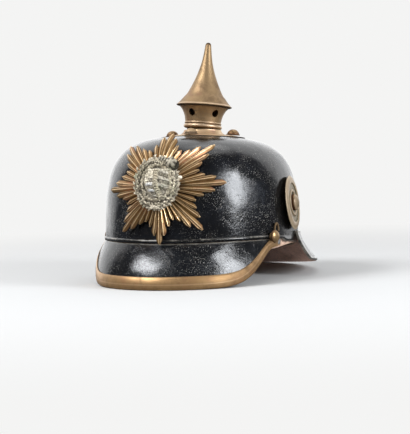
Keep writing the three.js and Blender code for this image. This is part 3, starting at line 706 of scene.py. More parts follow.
def make_visor_trim():
    """A brass channel folded round the visor's edge: its outer leg, the fold and its inner leg."""
    fold_from, fold_to = 0.5, 0.7

    def place(u, v):
        angle = visor_angle(u, TRIM.reach)
        drop, _ = visor_size(angle)
        leg = min(TRIM.height, drop - 1.2) / drop
        tight = TRIM.room * (1 + 1.5 * visor_share(angle) ** 10)
        front, back = tight + TRIM.sheet, -FRONT_VISOR.wall - tight - TRIM.sheet
        if v < fold_from:
            share = v / fold_from
            rise = TRIM.crown * sin(pi * share) ** 0.8 - 0.25 * ease(0.12, 0, share)
            # A painted highlight line along the outer leg's lower part, and a painted reflection
            # lightening the end on the wearer's right.
            line = 0.55 * near(share, 0.68, 0.07) + 0.6 * ease(-0.4, -1.0, angle)
            # Painted shade: a dark line along the top edge and darker towards the fold; the side towards
            # the wearer's left is darker too.
            ends = max(0.8 * ease(0.07, 0, share), 0.4 * ease(0.8, 1, share))
            deep = max(ends, 0.5 * ease(0.45, 0.95, angle))
            return beside_visor(angle, 1 - leg * (1 - share), front + rise), deep, line
        if v < fold_to:
            turn = pi * (v - fold_from) / (fold_to - fold_from)
            middle, half = (front + back) / 2, (front - back) / 2
            return beside_visor(angle, 1, middle + half * cos(turn), sin(turn)), 0, 0
        share = (v - fold_to) / (1 - fold_to)
        # The inner leg is darkened a little as painted shade.
        return beside_visor(angle, 1 - leg * share, back), 0.3, 0

    bm = new_mesh()
    add_patch(bm, 150, 40, place)
    bm.normal_update()
    lowest = min(bm.faces, key=lambda f: f.calc_center_median().z)
    if lowest.normal.z > 0:
        bmesh.ops.reverse_faces(bm, faces=bm.faces)
    trim = add_piece("brass_visor_trim", bm, (TRIM_BRASS,), "visor_trim")
    thicken(trim, TRIM.shown_sheet)


# ---- rear visor and sweatband ----

def make_rear_visor():
    def place(u, v):
        size = REAR_VISOR
        angle = blend(size.start, 2 * pi - size.start, u)
        side = ((angle - pi) / (pi - size.start)) ** 2
        seam = blend(size.seam_back, size.seam_side, side)
        edge = blend(size.edge_back, size.edge_side, side)
        foot = on_shell(angle)
        reach = oval(angle, size.half_width, size.half_length) - foot
        out = size.hug + (reach.length - size.hug) * v ** size.hollowness
        line = 0.45 * near(v, size.groove, 0.03) - 0.3 * near(v, size.ridge, 0.03)
        end = min(u, 1 - u)
        end_line = 0.45 * near(end, 0.03, 0.014)
        point = foot + reach.normalized() * (out - max(line, end_line))
        lightened = max(0.5 * ease(0.03, 0, v), 0.3 * ease(0.97, 1, v), 0.35 * ease(0.012, 0, end))
        return point + UP * (blend(seam, edge, v) + size.turned_up * v * v), 0, lightened

    bm = new_mesh()
    add_patch(bm, 120, 60, place)
    turn_sheets_out(bm, Vector((0, 20, -60)))
    visor = add_piece("leather_rear_visor", bm, (VISOR_LEATHER, RUSSET), "rear_visor")
    thicken(visor, REAR_VISOR.wall, 1)
    soften(visor, 0.6)


def make_sweatband():
    """A band of hide inside the shell, scalloped at its top, whose lower edge peeks out under the rim."""
    def place(u, v):
        angle = 2 * pi * u
        rim = rim_height(angle)
        beside = ease(radians(62), radians(100), from_front(angle))
        bottom = rim - SWEATBAND.peek - SWEATBAND.peek_front * (1 - beside)
        top = rim + SWEATBAND.height + SWEATBAND.scallop * sin(angle * SWEATBAND.scallops)
        height = blend(top, bottom, v)
        inwards = SWEATBAND.gap + SWEATBAND.lean * ease(rim, top, height)
        ripple = 0.25 * noise.noise(Vector((cos(angle) * 4, sin(angle) * 4, v * 3)))
        point = on_shell(angle) - shell_normal(angle) * (inwards + abs(ripple)) + UP * height
        return point, 0, 0.6 * ease(0.96, 1, v)

    bm = new_mesh()
    add_patch(bm, 192, 20, place)
    closed_up(bm)
    turn_sheets_out(bm, Vector((0, CENTRE_Y, 10)))
    sweatband = add_piece("hide_sweatband", bm, (HIDE,), "sweatband")
    thicken(sweatband, SWEATBAND.wall)
    soften(sweatband, 0.4)


# ---- crown: plate, studs and spike ----

def make_base_plate():
    base, sheet, radius = PLATE.base, PLATE.sheet, PLATE.radius
    shoulder = base + sheet + PLATE.rise
    slope = [
        (blend(radius - 1.2, PLATE.foot + 1, s), blend(base + sheet, shoulder, s)) for s in steps(0, 1, 8)
    ]
    cone = [
        (blend(PLATE.foot, PLATE.collar, 1 - (1 - s) ** 2), blend(shoulder, PLATE.top, s))
        for s in steps(0, 1, 14)
    ]
    rim = arc(radius - sheet / 2, base + sheet / 2, sheet / 2, -90, 90, 8)
    collar_in = PLATE.collar - PLATE.collar_wall
    inside = [(collar_in, PLATE.top), (collar_in, shoulder), (PLATE.bore, shoulder), (PLATE.bore, base)]
    bm = new_mesh()
    add_turned(bm, rim + slope + cone + inside, 128, ring=True)

    def depth(co):
        at = co.xy.length
        # Painted shade in the crease at the cone's foot, and a painted shadow line along the rim where the
        # plate stands off the shell.
        return max(0.5 * near(at, PLATE.foot + 0.6, 2.0), ease(radius - 1.5, radius - 0.7, at))

    mark(bm, "hollow", depth)
    for v in bm.verts:
        at = v.co.xy.length
        bent = ease(27, radius, at) * (0.95 + 0.35 * abs(v.co.x) / radius)
        v.co.z += 0.18 * noise.noise(v.co * 0.06) * ease(PLATE.foot, radius, at) - bent
    centred = Matrix.Translation((0, CENTRE_Y, 0))
    add_piece("brass_base_plate", bm, (PLATE_BRASS,), "base_plate", place=centred)


def make_plate_studs():
    slope = atan2(PLATE.rise, PLATE.radius - PLATE.foot)
    on_plate = PLATE.base + PLATE.sheet + (PLATE.radius - PLATE_STUD.out) * tan(slope) + PLATE_STUD.lift
    radius = PLATE_STUD.radius
    dome = [(0, 0), (radius, 0)] + arc(radius, 0.4, 0.35, -60, 90, 4) + [(5.7, 0.85)]
    dome += curve_through([(5.6, 1.3), (5.0, 2.7), (3.6, 4.2), (1.8, 5.1), (0, 5.25)], 4)
    dome[-1] = (0, dome[-1][1])
    stand = Matrix.Translation((PLATE_STUD.out, 0, on_plate)) @ Matrix.Rotation(slope, 4, "Y")
    for i, place in enumerate(("right", "front", "left", "back")):
        bm = new_mesh()
        add_turned(bm, dome, 40)
        # A little darker all over, and darker round the edge as painted shade.
        mark(bm, "hollow", lambda co: 0.2 + 0.6 * ease(4.9, 5.6, co.xy.length))
        turn = Matrix.Translation((0, CENTRE_Y, 0)) @ Matrix.Rotation(pi * (1 + i / 2), 4, "Z")
        finish = PLATE_BRASS if place == "front" else FITTING_BRASS
        stud = "plate_stud_" + place
        add_piece("brass_" + stud, bm, (finish,), stud, place=turn @ stand)


def spike_place():
    lean = Matrix.Rotation(-SPIKE.lean_back, 4, "X") @ Matrix.Rotation(SPIKE.lean_left, 4, "Y")
    return Matrix.Translation((0, CENTRE_Y, SPIKE.foot)) @ lean


def cut_vents(bm):
    """Cuts the row of air holes through the spike's neck."""
    drills = bmesh.new()
    for i in range(VENT.count):
        made = bmesh.ops.create_cone(
            drills, cap_ends=True, segments=32, radius1=VENT.radius, radius2=VENT.radius, depth=40
        )["verts"]
        aim = Matrix.Rotation(VENT.first + i * 2 * pi / VENT.count, 4, "Z")
        moved(drills, aim @ Matrix.Translation((0, -20, VENT.up)) @ Matrix.Rotation(pi / 2, 4, "X"), made)
    whole = bpy.data.meshes.new("neck_whole")
    bm.to_mesh(whole)
    neck, cutter = put_in_scene("neck_whole", whole), put_in_scene("drills", mesh_from(drills, "drills"))
    cut = neck.modifiers.new("Vents", "BOOLEAN")
    cut.object = cutter
    cut.operation = "DIFFERENCE"
    cut.solver = "EXACT"
    drilled = bpy.data.meshes.new_from_object(neck.evaluated_get(bpy.context.evaluated_depsgraph_get()))
    bm.clear()
    bm.from_mesh(drilled)
    for mesh in (whole, cutter.data, drilled):
        bpy.data.meshes.remove(mesh)


def make_spike_neck():
    foot = [(NECK.spigot_in, -4), (NECK.spigot, -4), (NECK.spigot, 0)]
    bead = arc(16.2, 1.85, 1.85, -90, 62, 14)
    groove = [(16.85, 3.75), (16.8, 4.1)]
    second = arc(16.75, 4.95, 0.7, -75, 80, 8)
    cup = [(16.85, 6.0), (17.2, 8.2), (17.7, 10.8), (18.8, 14), (20.8, 17.6), (23.2, 20.3)]
    wall = curve_through(cup, 6)
    inside = [(r - NECK.sheet, z) for r, z in reversed(wall)] + [(NECK.spigot_in, 4)]
    bm = new_mesh()
    add_turned(bm, foot + bead + groove + second + wall + inside, 120, ring=True)
    cut_vents(bm)

    def depth(co):
        # Painted shade in the groove, on the spigot inside the collar and under the point's rim.
        under_rim = 0.8 * ease(NECK.rim - 2, NECK.rim, co.z) ** 2
        return max(0.9 * near(co.z, NECK.groove, 0.5), 0.7 * ease(0.6, -0.2, co.z), under_rim)

    def polish_and_highlight(co):
        # The beads are lightened as polish and as a painted highlight.
        return max(near(co.z, NECK.bead, 1.6, 0.5), 0.8 * near(co.z, NECK.second_bead, 0.8, 0.2))

    mark(bm, "hollow", depth)
    mark(bm, "wear_and_highlight", polish_and_highlight)
    finishes = (BRASS, FITTING_BRASS)
    neck = add_piece("brass_spike_neck", bm, finishes, "spike_neck", 40, spike_place())
    soften(neck, 0.32, 2, 60, 1)


def make_spike_point():
    under = [(0, 21.2), (22.8, 20.75), (25.3, 20.7), (26.0, 21.0)]
    flank = [
        (26.1, 21.5), (24.9, 22.5), (22.7, 24.9), (19.7, 28.8), (16.7, 32.5), (12.9, 40.1),
        (9.7, 47.7), (7.1, 55.2), (5.1, 62.8), (3.8, 70.3), (2.8, 78.2),
    ]
    tip = arc(0, 78.4, 2.8, 12, 90, 8, 3.0)
    tip[-1] = (0, tip[-1][1])
    bm = new_mesh()
    add_turned(bm, under + curve_through(flank, 8) + tip, 120)
    # The rim's underside is darkened as painted shade and the very tip is darker; a band just above the
    # rim is lightened as a painted highlight.
    mark(bm, "hollow", lambda co: 0.9 * ease(78.2, 80.6, co.z) + (0.8 if co.z < 21.1 else 0))
    mark(bm, "wear_and_highlight", lambda co: 0.9 * near(co.z, 22.4, 0.9))
    add_piece("brass_spike_point", bm, (BRASS,), "spike_point", 40, spike_place())


# ---- front plate ----

RAY_COUNT = STAR.points * STAR.rays
BEHIND_STAR = Vector((STAR.x, 0, STAR.z))


def on_star(across, up, lift):
    """Lays a flat point, at a lift above the plate's back, on the plate as it is bent round the dome."""
    arm = STAR.bend_length / STAR.bend
    turn = max(up, 0) / arm
    height = arm * sin(turn) if up > 0 else up
    radius = STAR.bow - arm * (1 - cos(turn))
    away = radius + lift * cos(turn)
    bow = across / radius
    up_there = STAR.z + height + lift * sin(turn)
    return Vector((STAR.x + away * sin(bow), STAR.front_y + STAR.bow - away * cos(bow), up_there))


def star_ray(i):
    """Angle and length of a ray, between the slightly bent points on either side of it."""
    point, ray = divmod(i, STAR.rays)
    point %= STAR.points
    following = (point + 1) % STAR.points
    share = ray / STAR.rays
    straight = 2 * pi * point / STAR.points + radians(STAR.fan[ray])
    angle = straight + radians(blend(STAR.turned[point], STAR.turned[following], share))
    reach = STAR.reach + STAR.taller * cos(straight) + STAR.wider * sin(straight) ** 2
    reach += blend(STAR.longer[point], STAR.longer[following], share)
    return angle, reach * STAR.tips[ray]


def add_ray(bm, angle, length, lift, half_angle, rib):
    """One straight-sided ray with a sharp ridge along it, a raised rib beside that and a blunt point."""
    def place(u, v):
        side = 2 * u - 1
        out = length * blend(0.3, 1, v)
        left = (1 - v) * 0.7 * length
        narrow = min(1, (left + 0.4) / 3.8) ** 0.75
        width = min(out * tan(half_angle), 2.9) * narrow
        roof = STAR.ridge * (1 - abs(side)) * (0.5 + 0.5 * narrow)
        ribbed = 0.7 * near(side, 0.6 * rib, 0.2)
        x, y = out * sin(angle), out * cos(angle)
        x, y = x + side * width * cos(angle), y - side * width * sin(angle)
        # Painted shade along the ray's sides and in the groove beside its rib, and towards its root as
        # painted shade and dirt.
        groove = 0.75 * near(side, 0.36 * rib, 0.16)
        deep = max(ease(0.66, 0.95, abs(side)) * (0.5 + 0.5 * v), groove, 0.7 * ease(0.3, 0.06, v))
        # Painted highlights along the ridge, along the rib and at the blunt point.
        edges = max(near(side, 0, 0.24), 0.7 * near(side, 0.62 * rib, 0.18))
        lightened = max(edges, 0.6 * ease(1.3, 0.2, left))
        return on_star(x, y, STAR.sheet + lift + roof + ribbed), deep, lightened

    add_patch(bm, 20, 22, place)


def add_star_sheet(bm):
    """The plate under the rays, notched between them."""
    def place(u, v):
        step = u * RAY_COUNT
        (before, first), (after, second) = star_ray(int(step)), star_ray(int(step) + 1)
        after += 2 * pi if after < before else 0
        tip = 1 - abs(2 * (step % 1) - 1)
        at_ray = first if step % 1 < 0.5 else second
        out = blend(at_ray * 0.93, min(first, second) * 0.9, tip) * (1 - v)
        angle = blend(before, after, step % 1)
        # The sheet between the rays is darkened as painted shade.
        return on_star(out * sin(angle), out * cos(angle), STAR.sheet * 0.8), 0.85

    add_patch(bm, RAY_COUNT * 4, 8, place)
    closed_up(bm)


def make_star():
    bm = new_mesh()
    add_star_sheet(bm)
    half_angle = pi / RAY_COUNT
    for i in range(RAY_COUNT):
        angle, length = star_ray(i)
        angle += DICE.uniform(-0.012, 0.012)
        lift = 0.3 * (i % 2) + DICE.uniform(0, 0.3)
        rib = DICE.choice((-1, 1))
        length *= DICE.uniform(0.97, 1.01)
        add_ray(bm, angle, length, lift, half_angle * DICE.uniform(1.08, 1.2), rib)
    turn_sheets_out(bm, BEHIND_STAR)
    star = add_piece("brass_front_star", bm, (RAY_BRASS,), "star_plate", 30)
    thicken(star, 0.9)


# ---- badge ----

def badge_dome(x, y):
    """Height of the badge's back plate above the badge's foot."""
    away = min(hypot(x / BADGE.across, y / BADGE.up), 1)
    return 0.6 + BADGE.dome * (1 - away * away)


def by_badge(x, y, lift):
    """A point of the plate counted from the badge's middle and from the height of its foot."""
    return on_star(x + BADGE.x, y + BADGE.y, BADGE.back + lift)


def on_badge(x, y, lift):
    return by_badge(x, y, badge_dome(x, y) + lift)


def add_ball(bm, radius, centre):
    made = bmesh.ops.create_icosphere(bm, subdivisions=2, radius=radius)["verts"]
    moved(bm, Matrix.Translation(centre), made)


def add_pearl(bm, x, y, radius, lift):
    add_ball(bm, radius, on_badge(x, y, lift))


def add_leaf(bm, x, y, aim, length, width, lift):
    """A small laurel leaf with a groove along its middle."""
    def place(u, v):
        side = 2 * u - 1
        half = width * sin(pi * min(v * 0.94 + 0.04, 1)) ** 0.75 * (1 - 0.25 * v)
        forward, across = length * (v - 0.15), side * half
        px = x + forward * sin(aim) + across * cos(aim)
        py = y + forward * cos(aim) - across * sin(aim)
        swell = 0.75 * (1 - side * side) - 0.55 * near(side, 0, 0.35)
        curl = 0.9 * sin(pi * v) + 0.3 * v
        # Painted shade along the leaf's edges, in its middle groove and at its base.
        deep = max(ease(0.65, 1, abs(side)), 0.6 * near(side, 0, 0.3), 0.8 * ease(0.3, 0, v))
        return on_badge(px, py, lift + swell + curl), deep * 0.7

    add_patch(bm, 6, 6, place)


def make_wreath(bm):
    """Two branches of laurel that rise from the bottom round the shield, tied with crossed ribbons."""
    rows = ((12.0, 0.5, 0.9), (13.9, -0.9, 0.95), (15.7, 0.6, 1.0), (17.4, -0.6, 1.05), (18.7, 0.9, 1.0))
    for side in (-1, 1):
        for i in range(20):
            for row, (out, splay, size) in enumerate(rows):
                turn = side * radians(blend(179, 3, (i + 0.5 * (row % 2)) / 20) + DICE.uniform(-4, 4))
                aim = turn - side * (pi / 2 - splay) + DICE.uniform(-0.6, 0.6)
                out += DICE.uniform(-0.7, 0.7)
                x, y = out * sin(turn) + 0.24 * max(18.7 - out, 0), out * 1.15 * cos(turn)
                add_leaf(bm, x, y, aim, 4.1 * size, 1.2 * size, 0.2 + DICE.uniform(0, 1.1))
            if i % 2:
                add_pearl(bm, 16.9 * sin(turn), 19.4 * cos(turn), 0.75, 2.1)
    for x, y, aim in ((13.4, -9, 0.75), (18.4, -9.5, -0.7), (-17, -8, 0.5), (-13.5, -12, -0.6)):
        add_leaf(bm, x, y, aim, 10, 0.8, 1.9)
    for side in (-1, 1):
        add_leaf(bm, 0, -20.5, side * 1.9, 7.5, 1.6, 1.2)
    add_pearl(bm, 0, -20.3, 1.6, 1.2)
    add_pearl(bm, 21.3, 4.6, 2.1, 0.3)


def shield_half_width(v):
    """Half the shield's width at a share of the way from its foot to its top."""
    foot = sin(pi / 2 * min(v / 0.62, 1)) ** 0.62
    return SHIELD.half_width * foot - 1.2 * ease(0.72, 0.9, v) + 0.9 * ease(0.9, 1, v)


def make_shield(bm):
    """A domed shield with raised bars and a leafy band that falls across them in a curve."""
    def place(u, v):
        side = 2 * u - 1
        x, y = SHIELD.x + side * shield_half_width(v), blend(SHIELD.foot, SHIELD.top, v)
        rim = max(abs(side), abs(2 * v - 1))
        border = ease(0.84, 0.93, rim)
        bars = ease(-0.3, 0.7, sin((v + 0.14 * max(side, 0)) * 2 * pi * SHIELD.bars + 0.9))
        flat = (1 - border) * ease(0.78, 0.6, v - 0.5 * side - 0.25)
        chased = 0.45 * noise.noise(Vector((x * 0.8, y * 0.8, 3)))
        lift = 0.9 + 1.7 * (1 - side * side * 0.9) + 0.3 * border + 0.5 * bars * flat + chased
        # Painted shade between the bars and in the dips of the chasing.
        deep = 0.12 + 0.4 * (1 - bars) * flat + 0.5 * ease(0.15, -0.3, chased)
        # The bars are lightened a little as wear, and strongly on the left below the middle as a painted
        # highlight.
        lightened = bars * flat * (0.15 + 0.85 * ease(0.0, -0.5, side) * ease(0.65, 0.45, v))
        return on_badge(x, y, lift), deep, lightened

    add_patch(bm, 44, 76, place)
    for i in range(12):
        share = i / 11
        x = SHIELD.x + blend(-0.6, 3.4, ease(0.3, 1.2, share)) - 0.8 * sin(pi * share)
        y = blend(10.6, -11, share)
        slant = pi - 0.55 * ease(0.35, 1, share) + DICE.uniform(-0.1, 0.1)
        for side in (-1, 1):
            add_leaf(bm, x, y, slant + side * 0.85, 3.9, 1.1, 2.4 + DICE.uniform(0, 0.4))
        add_pearl(bm, x, y - 0.6, 0.75, 3.9)


def on_crown(across, up, depth):
    """Lays a point of the tilted crown, at a height above the badge's foot, on the plate."""
    x = CROWN.x + across * cos(CROWN.tilt) + up * sin(CROWN.tilt)
    y = CROWN.y - across * sin(CROWN.tilt) + up * cos(CROWN.tilt)
    return by_badge(x, y, depth)


def make_crown(bm):
    """A tilted crown: a beaded band, low arches over it and a ribbed ball in high relief at its end."""
    # A dark disc under the ball, offset to one side, is a painted shadow.
    def place_painted_shadow(u, v):
        turn = 2 * pi * u
        x, y = CROWN.ball_x + 1.5 + 5.4 * v * sin(turn), CROWN.ball_y - 2 + 5.2 * v * cos(turn)
        return by_badge(x, y, 3.4), 1

    def place_cap(u, v):
        across, up = blend(-8, 5, u), blend(0, 6.6, v) * sin(pi * (0.12 + 0.76 * u)) ** 0.6
        arches = 0.5 + 0.5 * cos(u * 2 * pi * 5)
        swell = sin(pi * v) ** 0.7 * sin(pi * u) ** 0.5
        # The cap is darkened, and more between the arches, as painted shade.
        return on_crown(across, up, 2.2 + 1.9 * swell + 0.9 * arches * swell), 0.5 + 0.5 * (1 - arches)

    def place_ball(u, v):
        turn = 2 * pi * u
        around = pi / 2 * v
        ribs = cos(turn * 5)
        out = CROWN.ball * sin(around) * (1 + 0.05 * ribs)
        x, y = CROWN.ball_x + out * sin(turn), CROWN.ball_y + out * cos(turn)
        # Painted shade between the ball's ribs.
        deep = 0.45 + 0.5 * ease(0.3, -0.8, ribs) * ease(0.15, 0.5, v)
        return by_badge(x, y, 3.6 + 3.4 * cos(around)), deep

    add_patch(bm, 40, 6, place_painted_shadow)
    add_patch(bm, 40, 14, place_cap)
    add_patch(bm, 60, 14, place_ball)
    for i in range(7):
        add_ball(bm, 0.75, on_crown(blend(-8, 3.4, i / 6), 0.2, 3.8))
    for across, up, radius in ((-5.5, 5.8, 0.9), (-1.8, 6.6, 1.0), (2, 6.3, 0.9)):
        add_ball(bm, radius, on_crown(across, up, 3.0))


def make_badge():
    def place(u, v):
        turn = 2 * pi * u
        out = (1 - v) * (1 + 0.02 * sin(turn * 26))
        # The back plate, seen between the leaves, is darkened as painted shade.
        return on_badge(BADGE.across * out * sin(turn), BADGE.up * out * cos(turn), 0), 0.5

    bm = new_mesh()
    add_patch(bm, 90, 12, place)
    closed_up(bm)
    make_wreath(bm)
    make_shield(bm)
    make_crown(bm)
    closed_up(bm)
    turn_sheets_out(bm, BEHIND_STAR)
    badge = add_piece("white_metal_badge", bm, (WHITE_METAL,), "wreath_badge", 70)
    thicken(badge, 0.35)


# ---- sides: cockade, studs and lug ----

def side_frame(point, normal, tilt):
    """A place on the shell's side whose Z points out of it and whose Y points up."""
    outwards = Vector((normal.x * cos(tilt), normal.y * cos(tilt), sin(tilt)))
    sideways = Vector((0, 0, 1)).cross(outwards).normalized()
    upwards = outwards.cross(sideways)
    turn = Matrix((sideways, upwards, outwards)).transposed().to_4x4()
    return Matrix.Translation(point) @ turn


def cockade_frame():
    angle = acos((CENTRE_Y - COCKADE.y) / SHELL.half_length)
    reach = (1 - (COCKADE.z / SHELL.height) ** SHELL.fullness) ** (1 / SHELL.fullness)
    normal = shell_normal(angle)
    normal.rotate(Matrix.Rotation(COCKADE.turn, 3, "Z"))
    centre = Vector((on_shell(angle).x * reach + COCKADE.foot, COCKADE.y, COCKADE.z))
    return side_frame(centre, normal, COCKADE.tilt)


def make_cockade():
    face = [
        (7.9, 0.9), (8.3, 1.15), (9.2, 1.25), (9.6, 1.5), (10, 2.2), (10.5, 2.45), (11.6, 2.5),
        (12.2, 2.2), (12.6, 1.6), (13.3, 1.45), (15.3, 1.6), (17.1, 1.5), (17.7, 1.55), (18.1, 2.2),
        (18.7, 2.5), (20.4, 2.55), (22.8, 2.1), (24.3, 1.45), (24.8, 1), (24.7, 0.55),
    ]
    bm = new_mesh()
    add_turned(bm, [(7.9, 0)] + face + [(24.3, 0.4), (11.4, 0.4), (10.4, 0)], 120, ring=True)
    hollow, wear_and_highlight = marks_of(bm)
    for v in bm.verts:
        at = v.co.xy.length
        # Painted shade round the centre hole and in the two grooves; the recessed middle ring is marked
        # for its dark paint.
        lines = max(near(at, 12.9, 0.7, 0.1), near(at, 17.6, 0.7, 0.1))
        v[hollow] = max(ease(10.0, 9.4, at), lines, 0.65 * ease(12.6, 13.2, at) * ease(17.8, 17.2, at))
        v[wear_and_highlight] = max(0.8 * near(at, 24.1, 1.0, 0.1), 0.5 * near(at, 18.8, 0.8))
        v.co.z += 0.12 * noise.noise(v.co * 0.2) * ease(0.6, 1.2, v.co.z)
    add_piece("painted_cockade", bm, (COCKADE_PAINT,), "cockade", 50, cockade_frame())


def make_cockade_screw():
    """A painted domed button on a brass foot that is darkened rust-red as rust and painted shade."""
    foot = [(0, 0.1), (7.3, 0.1), (7.5, 0.4), (7.5, 3.2)]
    button = arc(5.7, 3.4, 1.8, 0, 50, 5, 1.9) + [(5.9, 5.4), (4.4, 6.3), (2.3, 7.0), (0, 7.2)]
    bm = new_mesh()
    add_turned(bm, foot + button, 64)
    # The foot is darkened as painted shade, and the button's top a little darker.
    mark(bm, "hollow", lambda co: max(ease(4.2, 3.0, co.z), 0.35 * ease(5.6, 6.4, co.z)))
    for face in bm.faces:
        face.material_index = 1 if face.calc_center_median().z < 3.9 else 0
    finishes = (COCKADE_PAINT, FITTING_BRASS)
    add_piece("brass_cockade_screw", bm, finishes, "cockade_screw", 50, cockade_frame())


def make_side_studs():
    radius, shank, shank_top = SIDE_STUD.radius, SIDE_STUD.shank, SIDE_STUD.shank_top
    for side, degrees, height, standoff in (("left", 66.9, 3.1, 4.4), ("right", -79, 1.6, 2.6)):
        angle, foot = radians(degrees), -standoff + 0.9
        head = arc(radius - 0.35, 0.35, 0.35, -90, 30, 4)
        head += arc(0, 0.5, radius - 0.15, 6, 90, 14, height - 0.5)
        head[-1] = (0, head[-1][1])
        bm = new_mesh()
        add_turned(bm, [(0, foot), (shank, foot), (shank_top, -0.6), (shank_top, 0)] + head, 56)
        # Darker round the edge as painted shade.
        mark(bm, "hollow", lambda co: 0.85 * ease(radius - 0.7, radius - 0.1, co.xy.length))
        seat = on_shell(angle) + shell_normal(angle) * standoff + UP * SIDE_STUD.z
        stud, place = "side_stud_" + side, side_frame(seat, shell_normal(angle), 0)
        add_piece("brass_" + stud, bm, (FITTING_BRASS,), stud, 50, place)


def make_side_lug():
    """An upright arch of wire, from a circle spun through half a turn and drawn out upwards."""
    bm = new_mesh()
    bmesh.ops.create_circle(bm, cap_ends=True, segments=20, radius=LUG.wire)
    moved(bm, Matrix.Translation((LUG.half_width, 0, 0)) @ Matrix.Rotation(pi / 2, 4, "X"))
    start = list(bm.verts) + list(bm.edges) + list(bm.faces)
    bmesh.ops.spin(bm, geom=start, cent=(0, 0, 0), axis=(0, 0, 1), angle=pi, steps=32)
    bmesh.ops.remove_doubles(bm, verts=bm.verts, dist=1e-4)
    bmesh.ops.recalc_face_normals(bm, faces=bm.faces)
    for v in bm.verts:
        at = max(v.co.xy.length, 1e-6)
        v.co.y += (LUG.height - LUG.half_width) * max(v.co.y, 0) / at
    # Darkened all over, and more towards the shell as painted shade.
    mark(bm, "hollow", lambda co: 0.5 + 0.4 * ease(0.3, -0.6, co.z))
    normal = shell_normal(LUG.angle)
    seat = on_shell(LUG.angle) + normal * (LUG.wire + 0.6) + UP * LUG.foot
    add_piece("brass_side_lug", bm, (BRASS,), "side_lug_left", 50, side_frame(seat, normal, 0))


for make in (
    make_shell, make_front_visor, make_visor_trim, make_rear_visor, make_sweatband, make_base_plate,
    make_plate_studs, make_spike_neck, make_spike_point, make_star, make_badge, make_cockade,
    make_cockade_screw, make_side_studs, make_side_lug,
):
    make()


# ---- stage, light and camera ----

PAPER = (0.905, 0.905, 0.898)


def room_group():
    """What the helmet's gloss sees in a direction: a dim studio in front, a bright wall behind."""
    tree = bpy.data.node_groups.new("room", "ShaderNodeTree")
    tree.interface.new_socket("Direction", in_out="INPUT", socket_type="NodeSocketVector")
    tree.interface.new_socket("Color", in_out="OUTPUT", socket_type="NodeSocketColor")
    given, out = tree.nodes.new("NodeGroupInput").outputs, tree.nodes.new("NodeGroupOutput")
    to_wall = {0: given["Direction"], 1: (-0.25, 0.93, 0.27)}
    wall = band(tree, node(tree, "VectorMath", to_wall, operation="DOT_PRODUCT")["Value"], 0.50, 0.63)
    fill(tree, out, {"Color": mix(tree, wall, (0.12, 0.125, 0.135), (1.5, 1.51, 1.52))})
    return tree


ROOM = room_group()


def mix_shaders(tree, share, first, second):
    return node(tree, "MixShader", {0: share, 1: first, 2: second})[0]


def make_floor():
    """A pale disc that fades into the backdrop's white away from the helmet."""
    bm = bmesh.new()
    bmesh.ops.create_circle(bm, cap_ends=True, segments=96, radius=4)
    floor = put_in_scene("floor", mesh_from(bm, "floor"))
    material, tree, surface = new_material("pale_paper")
    fill(tree, surface, {"Base Color": (0.54, 0.54, 0.535, 1), "Roughness": 0.9})
    where = object_place(tree)
    away = node(tree, "VectorMath", {0: where}, operation="LENGTH")["Value"]
    path = node(tree, "LightPath")
    seen = times(tree, band(tree, away, 0.2, 0.75), path["Is Camera Ray"])
    white = node(tree, "Emission", {"Color": (*PAPER, 1)})[0]
    towards = node(tree, "VectorMath", {0: where}, operation="NORMALIZE")["Vector"]
    room = use_group(tree, ROOM, Direction=towards)["Color"]
    wall = mix(tree, band(tree, away, 0.3, 1.2), (0.15, 0.15, 0.155), room)
    reflected = node(tree, "Emission", {"Color": wall})[0]
    shown = mix_shaders(tree, seen, surface.outputs[0], white)
    last = mix_shaders(tree, path["Is Glossy Ray"], shown, reflected)
    tree.links.new(last, tree.nodes["Material Output"].inputs["Surface"])
    floor.data.materials.append(material)


def make_world():
    """A white backdrop for the camera, and the room for the reflections."""
    world = bpy.data.worlds.new("studio")
    world.use_nodes = True
    bpy.context.scene.world = world
    tree = world.node_tree
    tree.nodes.clear()
    room = use_group(tree, ROOM, Direction=node(tree, "TexCoord")["Generated"])["Color"]
    path = node(tree, "LightPath")
    reflected = node(tree, "Background", {"Color": room, "Strength": 1.0})[0]
    ambient = node(tree, "Background", {"Color": (1, 1, 1, 1), "Strength": 0.55})[0]
    seen = node(tree, "Background", {"Color": (*PAPER, 1), "Strength": 1.0})[0]
    lit = mix_shaders(tree, path["Is Glossy Ray"], ambient, reflected)
    node(tree, "OutputWorld", {"Surface": mix_shaders(tree, path["Is Camera Ray"], lit, seen)})


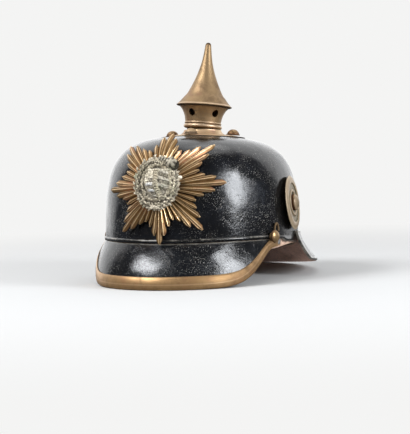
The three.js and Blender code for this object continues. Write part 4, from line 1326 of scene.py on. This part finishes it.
def direction(azimuth, elevation):
    """The way out from the helmet at an azimuth, counted from its front, and an elevation, in degrees."""
    a, e = radians(azimuth), radians(elevation)
    return Vector((sin(a) * cos(e), -cos(a) * cos(e), sin(e)))


def make_softbox(name, azimuth, elevation, distance, width, height, power, colour=(1, 1, 1), roll=0):
    light = bpy.data.lights.new(name, "AREA")
    light.shape = "RECTANGLE"
    light.size = width
    light.size_y = height
    light.energy = power
    light.color = colour
    lamp = put_in_scene(name, light)
    aim = direction(azimuth, elevation)
    lamp.location = Vector((0, 0, 0.1)) + aim * distance
    lamp.rotation_euler = (aim.to_track_quat("Z", "Y") @ Quaternion((0, 0, 1), radians(roll))).to_euler()
    return lamp


def make_lights():
    cool = (0.93, 0.96, 1.0)
    make_softbox("key_softbox", 76.5, 17.5, 1.4, 0.50, 0.66, 19.5, cool, 17)
    make_softbox("fill_softbox", -46, 43, 1.6, 0.8, 0.5, 28, (0.95, 0.97, 1.0))
    make_softbox("top_softbox", 150, 76, 1.5, 0.9, 0.9, 4)
    visor_lamp = make_softbox("visor_softbox", 73, 41, 1.4, 0.28, 0.62, 11.5, cool)
    lit = bpy.data.collections.new("front_visor_only")
    lit.objects.link(bpy.data.objects["leather_front_visor"])
    visor_lamp.light_linking.receiver_collection = lit


CAMERA = Sizes(azimuth=20.5, elevation=-1, distance=1500, aside=1.2, height=25.4, lens=131.9)


def make_camera():
    a = radians(CAMERA.azimuth)
    target = Vector((CAMERA.aside * cos(a), CAMERA.aside * sin(a), CAMERA.height))
    aim = direction(CAMERA.azimuth, CAMERA.elevation)
    place = target + aim * CAMERA.distance
    turn = aim.to_track_quat("Z", "Y").to_matrix().to_4x4()
    lens = bpy.data.cameras.new("camera")
    lens.lens = CAMERA.lens
    camera = put_in_scene("camera", lens)
    camera.matrix_world = Matrix.Translation(TO_REST @ place) @ Matrix.Rotation(-PITCH, 4, "X") @ turn
    bpy.context.scene.camera = camera


make_floor()
make_world()
make_lights()
make_camera()
bpy.context.scene.view_settings.view_transform = "Standard"
